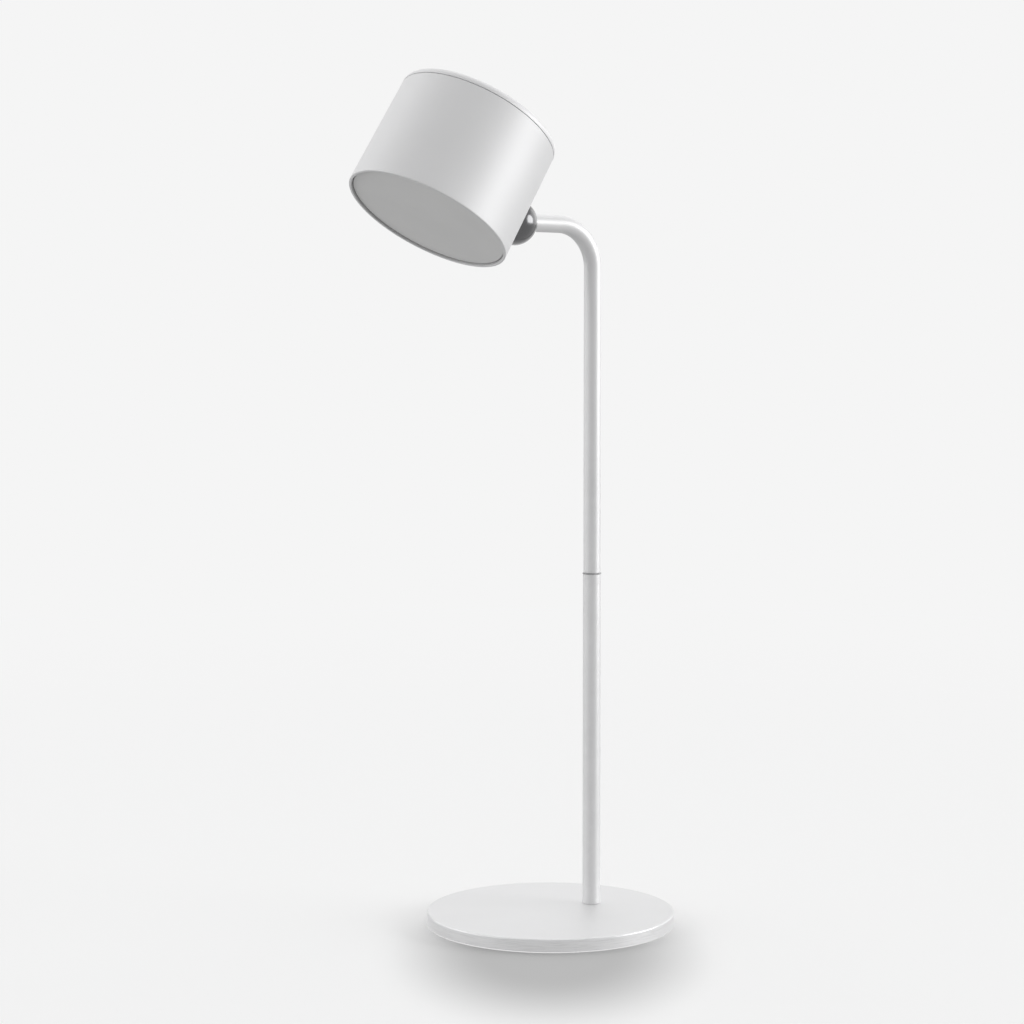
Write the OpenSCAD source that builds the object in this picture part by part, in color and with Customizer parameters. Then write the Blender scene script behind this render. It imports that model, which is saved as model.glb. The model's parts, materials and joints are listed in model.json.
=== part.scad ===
// Cordless desk lamp: a round steel base, a two-part pole with a bent arm, and a drum
// head that a magnet holds on a polished ball. All lengths are in millimetres.
// +Z is up, the origin is under the centre of the base and the head points to -Y.

/* [Base] */
// Diameter of the base plate
base_d = 165; // [150:1:200]
// Thickness of the base plate
base_t = 8.8; // [8:0.1:14]
// Round on the top edge of the base plate
base_round = 1; // [0.4:0.1:2.5]
// Bevel on the bottom edge of the base plate
base_bevel = 0.4; // [0.3:0.1:2]
// Diameter of the anti-slip pad
pad_d = 148; // [120:1:149]
// Thickness of the anti-slip pad
pad_t = 1.6; // [1.2:0.1:2.4]
// How far the pad stands below the plate
pad_proud = 0.3; // [0.2:0.1:1]
// Hole in the pad for reaching the pole bolt
pad_hole_d = 26; // [20:1:40]

/* [Pole] */
// Distance of the pole behind the centre of the base
pole_y = 34.5; // [0:0.5:50]
// Outer diameter of the lower tube
lower_d = 12; // [11.5:0.1:16]
// Outer diameter of the upper tube
upper_d = 11.5; // [11:0.1:12.2]
// Bore of both tubes
tube_bore_d = 9; // [8.4:0.1:9.6]
// Height above the desk where the two tubes meet
joint_z = 232.8; // [150:0.1:320]
// Height of the arm's centre line above the desk
arm_z = 464.6; // [380:0.1:560]
// Radius of the bend, on the tube's centre line
bend_r = 28; // [20:0.5:40]
// Small bevel on the ends of the tubes
tube_bevel = 0.3; // [0.1:0.1:0.6]
// Diameter of the gasket between the tubes
gasket_d = 12.7; // [12:0.1:18]
// Thickness of the gasket between the tubes
gasket_t = 0.6; // [0.5:0.1:2]
// Thread diameter of the bolt and studs in the pole
pole_thread_d = 6; // [5:0.5:6.5]
// Length of the threaded insert in the foot of the pole
foot_insert_l = 20; // [14:1:40]
// How far the foot insert reaches into the plate
foot_spigot_l = 1.2; // [0.6:0.1:1.5]
// Length of the bolt under its head
pole_bolt_l = 20; // [16:1:30]
// Diameter of the pole bolt's head
bolt_head_d = 10.5; // [9:0.1:12]
// Height of the pole bolt's head
bolt_head_h = 3.2; // [2.5:0.1:3.4]
// Diameter of the washer under the bolt head
washer_d = 13; // [12.2:0.1:15]
// Thickness of the washer under the bolt head
washer_t = 1; // [0.6:0.1:1.1]
// Length of the insert at the top of the lower tube
joint_insert_l = 22; // [18:1:40]
// Length of the stud's body, pressed into the upper tube
stud_body_l = 18; // [12:1:40]
// Length of the stud's threaded end, in the lower tube
stud_thread_l = 15; // [10:1:17]

/* [Ball joint] */
// Diameter of the polished ball
ball_d = 30; // [26:0.5:34]
// Distance of the ball's centre in front of the base's centre
ball_reach = 29.7; // [15:0.1:60]
// How far the ball's centre stands outside the head's wall
ball_out = 3.15; // [2:0.05:5]
// Length of the insert in the end of the arm
arm_plug_l = 14; // [11:1:24]
// How deep the stud goes into the ball
stud_in_ball = 11; // [8:0.5:12]
// How deep the stud goes into the arm
stud_in_arm = 10; // [8:0.5:11]
// Thickness of the soft liner that the ball rubs on
liner_t = 1; // [0.8:0.1:1.4]
// Distance from the ball's centre to the liner's outer edge
liner_front = 7.2; // [6:0.1:9]
// Distance from the ball's centre to the liner's inner edge
liner_back = 13.4; // [12:0.1:13.8]
// Thickness of the socket cup beside the ball
cup_wall = 1.5; // [1.2:0.1:2]
// Thickness of the cup's floor in front of the magnet
cup_floor = 0.8; // [0.6:0.1:1.5]
// Thickness of the cup's flange
flange_t = 2; // [1.5:0.1:3]
// Diameter of the magnet
magnet_d = 18; // [14:0.5:20]
// Thickness of the magnet
magnet_t = 6; // [4:0.5:8]
// Wall of the steel pot round the magnet
pot_wall = 1.8; // [1.2:0.1:2.4]
// Floor of the steel pot behind the magnet
pot_floor = 2; // [1.5:0.1:3]
// Thickness of the magnet cover
cover_t = 1.5; // [1.2:0.1:2]
// Thread diameter of the socket screws
socket_screw_d = 2.5; // [2:0.1:3]
// Diameter of the socket screws' bosses
socket_boss_d = 6; // [5.4:0.1:7]

/* [Head] */
// Tilt of the head, with 0 shining straight down
head_tilt = 31.5; // [0:0.5:60]
// Diameter of the head at its rim
head_d = 110; // [106:0.5:130]
// How much narrower the head is at its top than at its rim
head_taper = 2.4; // [0:0.1:5]
// Height of the head
head_h = 79.5; // [78:0.5:110]
// Height of the ball's centre above the rim
ball_h = 36.5; // [34:0.5:42]
// Wall of the shade
shell_t = 2; // [1.6:0.1:2.6]
// Round on the edges of the rim
rim_round = 0.7; // [0.3:0.1:0.7]
// Height of the top cap above its seam
cap_h = 5.5; // [5.2:0.1:9]
// Round on the edge of the top cap
cap_round = 4.5; // [2.5:0.1:4.7]
// Thickness of the top cap
cap_t = 2; // [1.6:0.1:2.4]
// Width of the seam's groove
seam_w = 0.5; // [0.3:0.1:0.6]
// Depth of the seam's groove
seam_depth = 0.9; // [0.5:0.1:1.1]
// Length of the cap's spigot inside the shade
spigot_l = 4; // [2:0.5:5]
// Wall of the cap's spigot
spigot_t = 1.6; // [1.2:0.1:2.2]

/* [Light] */
// Depth of the diffuser inside the rim
recess = 1.6; // [1:0.1:6]
// Thickness of the diffuser
diffuser_t = 2; // [1.5:0.1:3]
// Gap between the diffuser's edge and the wall round it
diffuser_gap = 0.4; // [0.2:0.05:0.8]
// Radius of the diffuser's visible edge
diffuser_round = 0.4; // [0.2:0.05:0.8]
// Distance between the diffuser and the heat plate
chamber_h = 8; // [7:0.5:10]
// Thickness of the heat plate
plate_t = 2; // [1.8:0.1:3]
// Diameter of the light board
led_board_d = 84; // [78:1:90]
// Thickness of the light board
led_board_t = 1.2; // [0.8:0.1:2]
// Width of one light chip
led_w = 3; // [2:0.1:4]
// Thickness of one light chip
led_t = 0.7; // [0.5:0.1:1.2]
// Distance between two rings of light chips
led_pitch = 12; // [11:0.5:13]
// Thickness of the reflector
reflector_t = 1; // [0.6:0.1:1.4]
// Height of the rib that the diffuser snaps behind
rib_h = 2.4; // [1.5:0.1:3]
// How far that rib stands in from the wall
rib_w = 1.8; // [1.2:0.1:2.2]
// Wall of the diffuser's skirt
skirt_t = 1.2; // [0.8:0.1:1.6]
// Height of the snap bead on the skirt
bead_h = 1; // [0.6:0.1:1.4]
// How far the snap bead stands out
bead_w = 0.35; // [0.2:0.05:0.6]

/* [Battery and controls] */
// Diameter of a battery cell
cell_d = 18.4; // [16:0.1:19]
// Length of a battery cell
cell_l = 65.2; // [60:0.1:66]
// Distance of the tray's centre in front of the head's axis
tray_y = 11; // [9:0.5:13]
// Wall of the battery tray
tray_wall = 1.6; // [1.2:0.1:2]
// Distance of the tray's ears from its ends
tray_ear_inset = 14; // [6:0.5:20]
// Room for the contact at each end of a cell
contact_room = 2.4; // [1.8:0.1:3]
// Thickness of a contact plate
contact_t = 0.5; // [0.3:0.1:0.8]
// Half the width of the control board
board_half_w = 20; // [20:0.5:23]
// Thickness of the control board
board_t = 1.6; // [1:0.1:2]
// Distance of the control board below the inside of the cap
board_drop = 11.5; // [11.4:0.1:13]
// Front edge of the control board, measured from the head's axis
board_front = 14; // [13:0.5:20]
// Gap between the control board's rear corners and the wall
board_gap = 0.8; // [0.5:0.1:3]
// Diameter of the coil under the control board
coil_d = 10; // [6:0.5:12]
// Height of the coil
coil_h = 4; // [2:0.1:5]
// Diameter of the capacitor beside the coil
capacitor_d = 6; // [4:0.1:7]
// Height of the capacitor
capacitor_h = 6; // [3:0.1:7]
// Side of the two chips under the control board
chip_w = 7; // [4:0.1:8]
// Height of the two chips
chip_h = 1.2; // [0.8:0.1:2]
// Diameter of the board's posts
post_d = 5.5; // [5:0.1:6.5]
// Side of the power switch
switch_w = 9; // [7:0.1:11]
// Height of the power switch
switch_h = 5.5; // [4.5:0.1:5.8]
// Diameter of the power button
button_d = 15; // [11:0.5:16]
// How far the button stands out of the cap
button_proud = 0.5; // [0.2:0.1:1.2]
// Travel of the power button
button_travel = 1; // [0.5:0.1:1.4]
// How far the button's flange reaches under the cap
button_flange = 1.2; // [0.8:0.1:2]
// Diameter of the button's stem
stem_d = 3; // [2.4:0.1:4]
// Width of the charging inlet
usb_w = 9; // [8.9:0.1:9.4]
// Height of the charging inlet
usb_h = 3.2; // [3:0.1:3.6]
// Length of the charging inlet
usb_l = 9; // [8:0.1:10]
// How far the charging inlet is set back in the wall
usb_back = 0.6; // [0.2:0.1:1.2]
// Thread diameter of the head's larger screws
head_screw_d = 3; // [2.5:0.1:3.2]

/* [Fits] */
// Radial gap of a pressed or glued piece
press_gap = 0.05; // [0.02:0.01:0.1]
// Radial gap between a thread and its bore
thread_gap = 0.05; // [0.03:0.01:0.1]
// Radial gap of a surface that turns or slides
run_gap = 0.05; // [0.03:0.01:0.1]
// Gap at the end of a piece that turns
end_gap = 0.1; // [0.05:0.01:0.3]
// Radial gap of a screw in a clearance hole
hole_gap = 0.15; // [0.1:0.01:0.3]
// Gap round a moulded piece that drops into place
drop_gap = 0.2; // [0.1:0.01:0.4]
// Gap between the ball and the lips of its cup
ball_gap = 0.4; // [0.3:0.05:0.6]
// Gap round the power button and the charging inlet
opening_gap = 0.3; // [0.2:0.01:0.5]

/* [Hidden] */
$fn = 96;

// Colours
satin_white = [0.93, 0.93, 0.92];
bright_steel = [0.74, 0.75, 0.77];
dark_steel = [0.45, 0.46, 0.48];
dark_rubber = [0.2, 0.2, 0.21];
opal = [0.86, 0.86, 0.85];
board_green = [0.12, 0.38, 0.24];
cell_blue = [0.25, 0.42, 0.66];
light_yellow = [0.96, 0.86, 0.5];
inner_grey = [0.6, 0.6, 0.61];

// Base and pole
plate_z = pad_proud;
plate_top = plate_z + base_t;
counterbore_d = washer_d + 2 * hole_gap;
washer_z = plate_top - foot_spigot_l - 2.3 - washer_t;
bolt_under_head = washer_z;
thread_r = pole_thread_d / 2;
insert_r = tube_bore_d / 2 - press_gap;
spigot_r = insert_r - 0.3;
lower_top = joint_z - gasket_t / 2;
upper_foot = joint_z + gasket_t / 2;
bend_y = pole_y - bend_r;
bend_z = arm_z - bend_r;
ball_r = ball_d / 2;
ball_flat = sqrt(pow(ball_r, 2) - pow(upper_d / 2, 2));
arm_end = ball_flat + end_gap;
arm_l = bend_y + ball_reach - arm_end;

// Head, measured from the centre of its rim with +Z towards its top
rim_r = head_d / 2;
rim_edge = min(rim_round, shell_t / 2 - 0.1);
draft = head_taper / 2 / (head_h - rim_edge);
seam_z = head_h - cap_h;
reach = wall_r(ball_h) + ball_out;
cap_inside = head_h - cap_t;

// Socket, measured from the ball's centre with +Z into the head
seat_r = ball_r + run_gap + liner_t + run_gap;
lip_r = ball_r + ball_gap;
cup_r = seat_r + cup_wall;
cup_hole_r = cup_r + drop_gap;
collar_r = cup_hole_r + 1.5;
ear_r = collar_r + socket_boss_d / 2;
ear_x = ear_r * cos(45);
socket_seat = wall_depth(ear_x + socket_boss_d / 2) + 2;
pocket_z = seat_r + cup_floor;
pot_r = magnet_d / 2 + press_gap + pot_wall;
pot_l = magnet_t + pot_floor;
pocket_r = pot_r + drop_gap;
neck_r = pocket_r + 1.4;
neck_end = pocket_z + pot_l;
flange_back = socket_seat + flange_t;
hat_in_r = neck_r + drop_gap;
hat_r = hat_in_r + cover_t;
small_r = socket_screw_d / 2;
small_head_r = small_r * 1.85;
small_head_h = socket_screw_d * 0.6;
socket_pilot_l = 3.6;

// Light
diffuser_top = recess + diffuser_t;
light_z = diffuser_top + chamber_h;
light_top = light_z + plate_t;
rib_r = wall_in(diffuser_top) - rib_w;
rib_top = diffuser_top + rib_h;
skirt_r = rib_r - drop_gap;
bead_z = rib_top + end_gap;
plate_r = rib_r - drop_gap;
led_board_z = light_z - led_board_t;
head_screw_r = head_screw_d / 2;
csk_r = head_screw_r * 1.85;
csk_h = csk_r - head_screw_r;
pan_r = head_screw_r * 1.85;
pan_h = head_screw_d * 0.6;
plate_boss_r = head_screw_r + 1.7;
plate_boss_at = wall_in(light_top) - plate_boss_r - 2;
plate_boss_l = 12;
plate_boss_angles = [30, 150, 270];
plate_screw_l = 9;
led_screw_at = 2.5 * led_pitch;
led_screw_angles = [15, 135, 255];
led_rings = 3;

// Battery
cell_r = cell_d / 2;
cell_pitch = cell_d + 2 * drop_gap + tray_wall;
cell_z = light_top + tray_wall + drop_gap + cell_r;
tray_half_l = cell_l / 2 + contact_room + tray_wall;
tray_half_w = cell_pitch / 2 + cell_r + drop_gap + tray_wall;
tray_ear_r = pan_r + 0.6;
tray_ear_x = tray_half_l - tray_ear_inset;
tray_ear_y = tray_half_w + tray_ear_r - 0.6;
tray_ear_h = 2.4;
tray_places = [
  [-tray_ear_x, -tray_y - tray_ear_y],
  [tray_ear_x, -tray_y - tray_ear_y],
  [-tray_ear_x, -tray_y + tray_ear_y],
  [tray_ear_x, -tray_y + tray_ear_y]
];

// Controls
board_top = cap_inside - board_drop;
board_z = board_top - board_t;
board_rear = sqrt(pow(wall_in(board_top) - board_gap, 2) - pow(board_half_w, 2));
post_back = 11;
post_x = board_half_w - post_d / 2 - 0.7;
post_places = [
  [-post_x, -board_front + post_d / 2 + 0.7],
  [post_x, -board_front + post_d / 2 + 0.7],
  [-post_x, board_rear - post_back],
  [post_x, board_rear - post_back]
];
button_r = button_d / 2;
button_hole_r = button_r + opening_gap;
flange_r = button_hole_r + button_flange;
flange_top = cap_inside - end_gap;
button_flange_t = 1.6;
flange_z = flange_top - button_flange_t;
sleeve_r = flange_r + opening_gap;
sleeve_l = button_flange_t + button_travel + 1;
stem_r = stem_d / 2;
switch_top = board_top + switch_h;
stem_in = 1.5;
usb_mid_z = board_top + usb_h / 2;
usb_mouth = wall_r(usb_mid_z) - usb_back;
cap_boss_r = head_screw_r + 1.9;
cap_seat_z = seam_z - 6;
cap_boss_l = 8;
cap_boss_at = wall_in(cap_seat_z) - cap_boss_r - 1.8;
cap_boss_angles = [10, 170, 240, 300];
cap_screw_l = 12;

// Outer radius of the head's wall at a height above the rim
function wall_r(z) = head_d / 2 - draft * (z - rim_edge);

// Inner radius of the head's wall at a height above the rim
function wall_in(z) = wall_r(z) - shell_t;

// Distance from the ball's centre, along the socket, to the wall's inner face at x
function wall_depth(x) = reach - sqrt(pow(wall_in(ball_h), 2) - pow(x, 2));

// Puts the pole's own axis in its place on the base
module at_pole() {
  translate([0, pole_y, 0])
    children();
}

// Puts the ball's centre in its place, with +Z along the arm
module at_ball() {
  translate([0, -ball_reach, arm_z])
    rotate([-90, 0, 0])
      children();
}

// Puts the head's own axes in their place on the ball
module at_head() {
  translate([0, -ball_reach, arm_z])
    rotate([-head_tilt, 0, 0])
      translate([0, -reach, -ball_h])
        children();
}

// Socket axes inside the head's own axes
module in_socket() {
  translate([0, reach, ball_h])
    rotate([90, 0, 0])
      children();
}

// Places the children at an angle round the Z axis
module around(angle, r) {
  rotate([0, 0, angle])
    translate([r, 0, 0])
      children();
}

// Straight tube with eased outer edges
module round_tube(length, d, bore, foot_bevel, top_bevel) {
  rotate_extrude()
    polygon([
      [bore / 2, 0],
      [d / 2 - foot_bevel, 0],
      [d / 2, foot_bevel],
      [d / 2, length - top_bevel],
      [d / 2 - top_bevel, length],
      [bore / 2, length]
    ]);
}

// Solid rod with eased ends
module eased_rod(r, length, ease) {
  rotate_extrude()
    polygon([
      [0, 0],
      [r - ease, 0],
      [r, ease],
      [r, length - ease],
      [r - ease, length],
      [0, length]
    ]);
}

// Screw with a round head below z = 0 and its shank above
module pan_screw(r, length, head_r, head_h) {
  difference() {
    union() {
      eased_rod(r, length, r * 0.2);
      translate([0, 0, -head_h])
        rotate_extrude()
          intersection() {
            square([head_r, head_h]);
            translate([0, head_h * 2.1])
              circle(head_h * 2.1);
          }
      translate([0, 0, -head_h / 2])
        cylinder(r = r, h = head_h / 2 + r);
    }
    translate([0, 0, -head_h - 1])
      cylinder(r = r * 0.8, h = head_h * 0.6 + 1, $fn = 6);
  }
}

// Screw with a countersunk head that starts at z = 0
module csk_screw(r, length, head_r, head_h) {
  difference() {
    rotate_extrude()
      polygon([
        [0, 0],
        [head_r, 0],
        [r, head_h],
        [r, length - r * 0.2],
        [r * 0.8, length],
        [0, length]
      ]);
    translate([0, 0, -1])
      cylinder(r = r * 0.8, h = head_h * 0.7 + 1, $fn = 6);
  }
}

// The head's outer shape as a solid, drawn in by the given amount
module head_solid(inset) {
  rotate_extrude()
    polygon([
      [0, 0],
      [wall_r(0) - inset, 0],
      [wall_r(seam_z) - inset, seam_z],
      [0, seam_z]
    ]);
}

// ---- Base and pole ----

module base_plate() {
  color(satin_white)
    translate([0, 0, plate_z])
      difference() {
        rotate_extrude()
          union() {
            polygon([
              [0, 0],
              [base_d / 2 - base_bevel, 0],
              [base_d / 2, base_bevel],
              [base_d / 2, base_t - base_round],
              [0, base_t - base_round]
            ]);
            translate([0, base_t - base_round])
              square([base_d / 2 - base_round, base_round]);
            translate([base_d / 2 - base_round, base_t - base_round])
              intersection() {
                circle(base_round);
                square(base_round);
              }
          }
        translate([0, 0, -1])
          cylinder(d = pad_d + 2 * drop_gap, h = pad_t - pad_proud + 1);
        at_pole() {
          translate([0, 0, -1])
            cylinder(d = counterbore_d, h = washer_z + washer_t - plate_z + 1);
          translate([0, 0, -1])
            cylinder(r = thread_r + hole_gap, h = base_t + 2);
          translate([0, 0, base_t - foot_spigot_l])
            cylinder(r = spigot_r + hole_gap, h = foot_spigot_l + 1);
        }
      }
}

module base_pad() {
  color(dark_rubber)
    difference() {
      cylinder(d = pad_d, h = pad_t);
      at_pole()
        translate([0, 0, -1])
          cylinder(d = pad_hole_d, h = pad_t + 2);
    }
}

module pole_bolt() {
  color(bright_steel)
    at_pole()
      translate([0, 0, bolt_under_head])
        pan_screw(thread_r, pole_bolt_l, bolt_head_d / 2, bolt_head_h);
}

module pole_washer() {
  color(bright_steel)
    at_pole()
      translate([0, 0, washer_z])
        difference() {
          cylinder(d = washer_d, h = washer_t);
          translate([0, 0, -1])
            cylinder(r = thread_r + hole_gap, h = washer_t + 2);
        }
}

module foot_insert() {
  color(dark_steel)
    at_pole()
      difference() {
        union() {
          translate([0, 0, plate_top])
            eased_rod(insert_r, foot_insert_l, 0.4);
          translate([0, 0, plate_top - foot_spigot_l])
            cylinder(r = spigot_r, h = foot_spigot_l + 1);
        }
        translate([0, 0, plate_top - foot_spigot_l - 1])
          cylinder(r = thread_r + thread_gap, h = foot_spigot_l + foot_insert_l + 2);
      }
}

module lower_tube() {
  color(satin_white)
    at_pole()
      translate([0, 0, plate_top])
        round_tube(lower_top - plate_top, lower_d, tube_bore_d, tube_bevel, tube_bevel);
}

module joint_socket() {
  color(dark_steel)
    at_pole()
      translate([0, 0, lower_top - joint_insert_l])
        difference() {
          eased_rod(insert_r, joint_insert_l, 0.4);
          translate([0, 0, -1])
            cylinder(r = thread_r + thread_gap, h = joint_insert_l + 2);
        }
}

module joint_gasket() {
  color(dark_rubber)
    at_pole()
      translate([0, 0, lower_top])
        round_tube(gasket_t, gasket_d, pole_thread_d + 2 * hole_gap, 0.2, 0.2);
}

module joint_stud() {
  color(bright_steel)
    at_pole() {
      translate([0, 0, upper_foot])
        eased_rod(insert_r, stud_body_l, 0.4);
      translate([0, 0, upper_foot - gasket_t - stud_thread_l])
        cylinder(r = thread_r, h = gasket_t + stud_thread_l + 1);
    }
}

module upper_tube() {
  color(satin_white) {
    at_pole()
      translate([0, 0, upper_foot])
        round_tube(bend_z - upper_foot, upper_d, tube_bore_d, tube_bevel, 0);
    translate([0, bend_y, bend_z])
      rotate([90, 0, 90])
        rotate_extrude(angle = 90)
          translate([bend_r, 0])
            difference() {
              circle(d = upper_d);
              circle(d = tube_bore_d);
            }
    translate([0, bend_y, arm_z])
      rotate([90, 0, 0])
        round_tube(arm_l, upper_d, tube_bore_d, 0, tube_bevel);
  }
}

module arm_plug() {
  color(dark_steel)
    at_ball()
      translate([0, 0, arm_end + end_gap])
        difference() {
          eased_rod(insert_r, arm_plug_l, 0.4);
          translate([0, 0, -1])
            cylinder(r = thread_r + thread_gap, h = arm_plug_l + 2);
        }
}

module ball_stud() {
  color(bright_steel)
    at_ball()
      translate([0, 0, ball_flat - stud_in_ball])
        eased_rod(thread_r, stud_in_ball + end_gap + stud_in_arm, 0.5);
}

// ---- Ball joint ----

module ball() {
  color(bright_steel)
    at_ball()
      difference() {
        sphere(ball_r);
        translate([0, 0, ball_flat])
          cylinder(r = ball_r, h = ball_r);
        translate([0, 0, ball_flat - stud_in_ball - end_gap])
          cylinder(r = thread_r + run_gap, h = stud_in_ball + ball_r);
      }
}

module seat_liner() {
  color(dark_rubber)
    at_head()
      in_socket()
        difference() {
          intersection() {
            sphere(ball_r + run_gap + liner_t);
            translate([0, 0, liner_front + end_gap])
              cylinder(r = ball_d, h = liner_back - liner_front - 2 * end_gap);
          }
          sphere(ball_r + run_gap);
        }
}

// Ears that the socket's four screws go through
module socket_ears(thickness) {
  for (a = [45, 135, 225, 315])
    around(a, ear_r) {
      cylinder(d = socket_boss_d, h = thickness);
      translate([-ear_r / 2, -socket_boss_d / 2, 0])
        cube([ear_r / 2, socket_boss_d, thickness]);
    }
}

// Holes at the socket's four screws
module socket_holes(r, from, length) {
  for (a = [45, 135, 225, 315])
    around(a, ear_r)
      translate([0, 0, from])
        cylinder(r = r, h = length);
}

module socket_cup() {
  color(inner_grey)
    at_head()
      difference() {
        union() {
          intersection() {
            in_socket()
              cylinder(r = cup_r, h = socket_seat + flange_t / 2);
            head_solid(0);
          }
          in_socket() {
            translate([0, 0, socket_seat]) {
              cylinder(r = collar_r, h = flange_t);
              socket_ears(flange_t);
            }
            translate([0, 0, flange_back - 1])
              cylinder(r = neck_r, h = neck_end - flange_back + 1);
          }
        }
        in_socket() {
          sphere(lip_r);
          intersection() {
            sphere(seat_r);
            translate([0, 0, liner_front])
              cylinder(r = ball_d, h = liner_back - liner_front);
          }
          translate([0, 0, pocket_z])
            cylinder(r = pocket_r, h = pot_l + 1);
          socket_holes(small_r + hole_gap, socket_seat - 1, flange_t + 2);
        }
      }
}

module magnet() {
  color(bright_steel)
    at_head()
      in_socket()
        translate([0, 0, pocket_z])
          eased_rod(magnet_d / 2, magnet_t, 0.3);
}

module magnet_pot() {
  color(dark_steel)
    at_head()
      in_socket()
        translate([0, 0, pocket_z])
          difference() {
            cylinder(r = pot_r, h = pot_l);
            translate([0, 0, -1])
              cylinder(r = magnet_d / 2 + press_gap, h = magnet_t + 1);
          }
}

module magnet_cover() {
  color(inner_grey)
    at_head()
      in_socket()
        difference() {
          union() {
            translate([0, 0, flange_back]) {
              cylinder(r = collar_r, h = cover_t);
              socket_ears(cover_t);
            }
            translate([0, 0, flange_back])
              cylinder(r = hat_r, h = neck_end + cover_t - flange_back);
          }
          translate([0, 0, flange_back - 1])
            cylinder(r = hat_in_r, h = neck_end - flange_back + 1);
          socket_holes(small_r + hole_gap, flange_back - 1, cover_t + 2);
        }
}

module socket_screws() {
  color(bright_steel)
    at_head()
      in_socket()
        for (a = [45, 135, 225, 315])
          around(a, ear_r)
            translate([0, 0, flange_back + cover_t])
              rotate([180, 0, 0])
                pan_screw(
                  small_r,
                  cover_t + flange_t + socket_pilot_l - 0.4,
                  small_head_r,
                  small_head_h
                );
}

// ---- Head ----

// Section of the shade's wall with its rounded rim
module shell_profile() {
  polygon([
    [rim_r, rim_edge],
    [wall_r(seam_z), seam_z],
    [wall_in(seam_z), seam_z],
    [rim_r - shell_t, rim_edge]
  ]);
  intersection() {
    translate([rim_r - shell_t, 0])
      square([shell_t, rim_edge]);
    union() {
      translate([rim_r - rim_edge, rim_edge])
        circle(rim_edge);
      translate([rim_r - shell_t + rim_edge, rim_edge])
        circle(rim_edge);
      translate([rim_r - shell_t + rim_edge, 0])
        square([shell_t - 2 * rim_edge, rim_edge]);
    }
  }
}

// Screw boss on the inside of the wall, with its web
module wall_boss(angle, at, r, z, length) {
  around(angle, at)
    translate([0, 0, z]) {
      cylinder(r = r, h = length);
      translate([0, -r * 0.55, 0])
        cube([max(wall_r(z), wall_r(z + length)) - at, r * 1.1, length]);
    }
}

// Bosses and collar that the wall carries on its inside
module shell_bosses() {
  for (a = plate_boss_angles)
    wall_boss(a, plate_boss_at, plate_boss_r, light_top, plate_boss_l);
  for (a = cap_boss_angles)
    wall_boss(a, cap_boss_at, cap_boss_r, cap_seat_z - cap_boss_l, cap_boss_l);
  in_socket() {
    cylinder(r = collar_r, h = socket_seat);
    for (a = [45, 135, 225, 315])
      around(a, ear_r)
        cylinder(d = socket_boss_d, h = socket_seat);
  }
}

module shade_shell() {
  color(satin_white)
    at_head()
      difference() {
        union() {
          rotate_extrude()
            shell_profile();
          rotate_extrude()
            polygon([
              [rib_r, diffuser_top],
              [wall_in(diffuser_top) + shell_t / 2, diffuser_top],
              [wall_in(diffuser_top) + shell_t / 2, rib_top],
              [rib_r, rib_top]
            ]);
          intersection() {
            shell_bosses();
            head_solid(shell_t / 2);
          }
        }
        in_socket() {
          translate([0, 0, -ball_r])
            cylinder(r = cup_hole_r, h = socket_seat + ball_r + 1);
          socket_holes(small_r + thread_gap, socket_seat - socket_pilot_l, socket_pilot_l + 1);
        }
        for (a = plate_boss_angles)
          around(a, plate_boss_at)
            translate([0, 0, light_top - 1])
              cylinder(r = head_screw_r + thread_gap, h = plate_screw_l + 1);
        for (a = cap_boss_angles)
          around(a, cap_boss_at)
            translate([0, 0, cap_seat_z - cap_boss_l - 1])
              cylinder(r = head_screw_r + hole_gap, h = cap_boss_l + 2);
        usb_opening();
      }
}

// Rounded slot in the wall for the charging inlet
module usb_opening() {
  slot_r = usb_h / 2 + opening_gap;
  slot_x = usb_w / 2 - usb_h / 2;
  translate([0, wall_in(usb_mid_z) - 2, usb_mid_z])
    rotate([-90, 0, 0]) {
      for (s = [-1, 1])
        translate([s * slot_x, 0, 0])
          cylinder(r = slot_r, h = shell_t + 5);
      translate([-slot_x, -slot_r, 0])
        cube([2 * slot_x, 2 * slot_r, shell_t + 5]);
    }
}

// Section of the cap's skin, filled down to its seat
module cap_profile() {
  edge_r = wall_r(seam_z);
  difference() {
    union() {
      translate([0, seam_z])
        square([edge_r - seam_depth, seam_w]);
      translate([0, seam_z + seam_w])
        square([edge_r, cap_h - seam_w - cap_round]);
      translate([0, head_h - cap_round])
        square([edge_r - cap_round, cap_round]);
      intersection() {
        translate([edge_r - cap_round, head_h - cap_round])
          circle(cap_round);
        translate([edge_r - cap_round, head_h - cap_round])
          square(cap_round);
      }
      translate([0, seam_z - spigot_l])
        square([wall_in(seam_z) - drop_gap, spigot_l]);
    }
    translate([0, seam_z - spigot_l - 1])
      square([wall_in(seam_z) - drop_gap - spigot_t, cap_inside - seam_z + spigot_l + 1]);
  }
}

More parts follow.
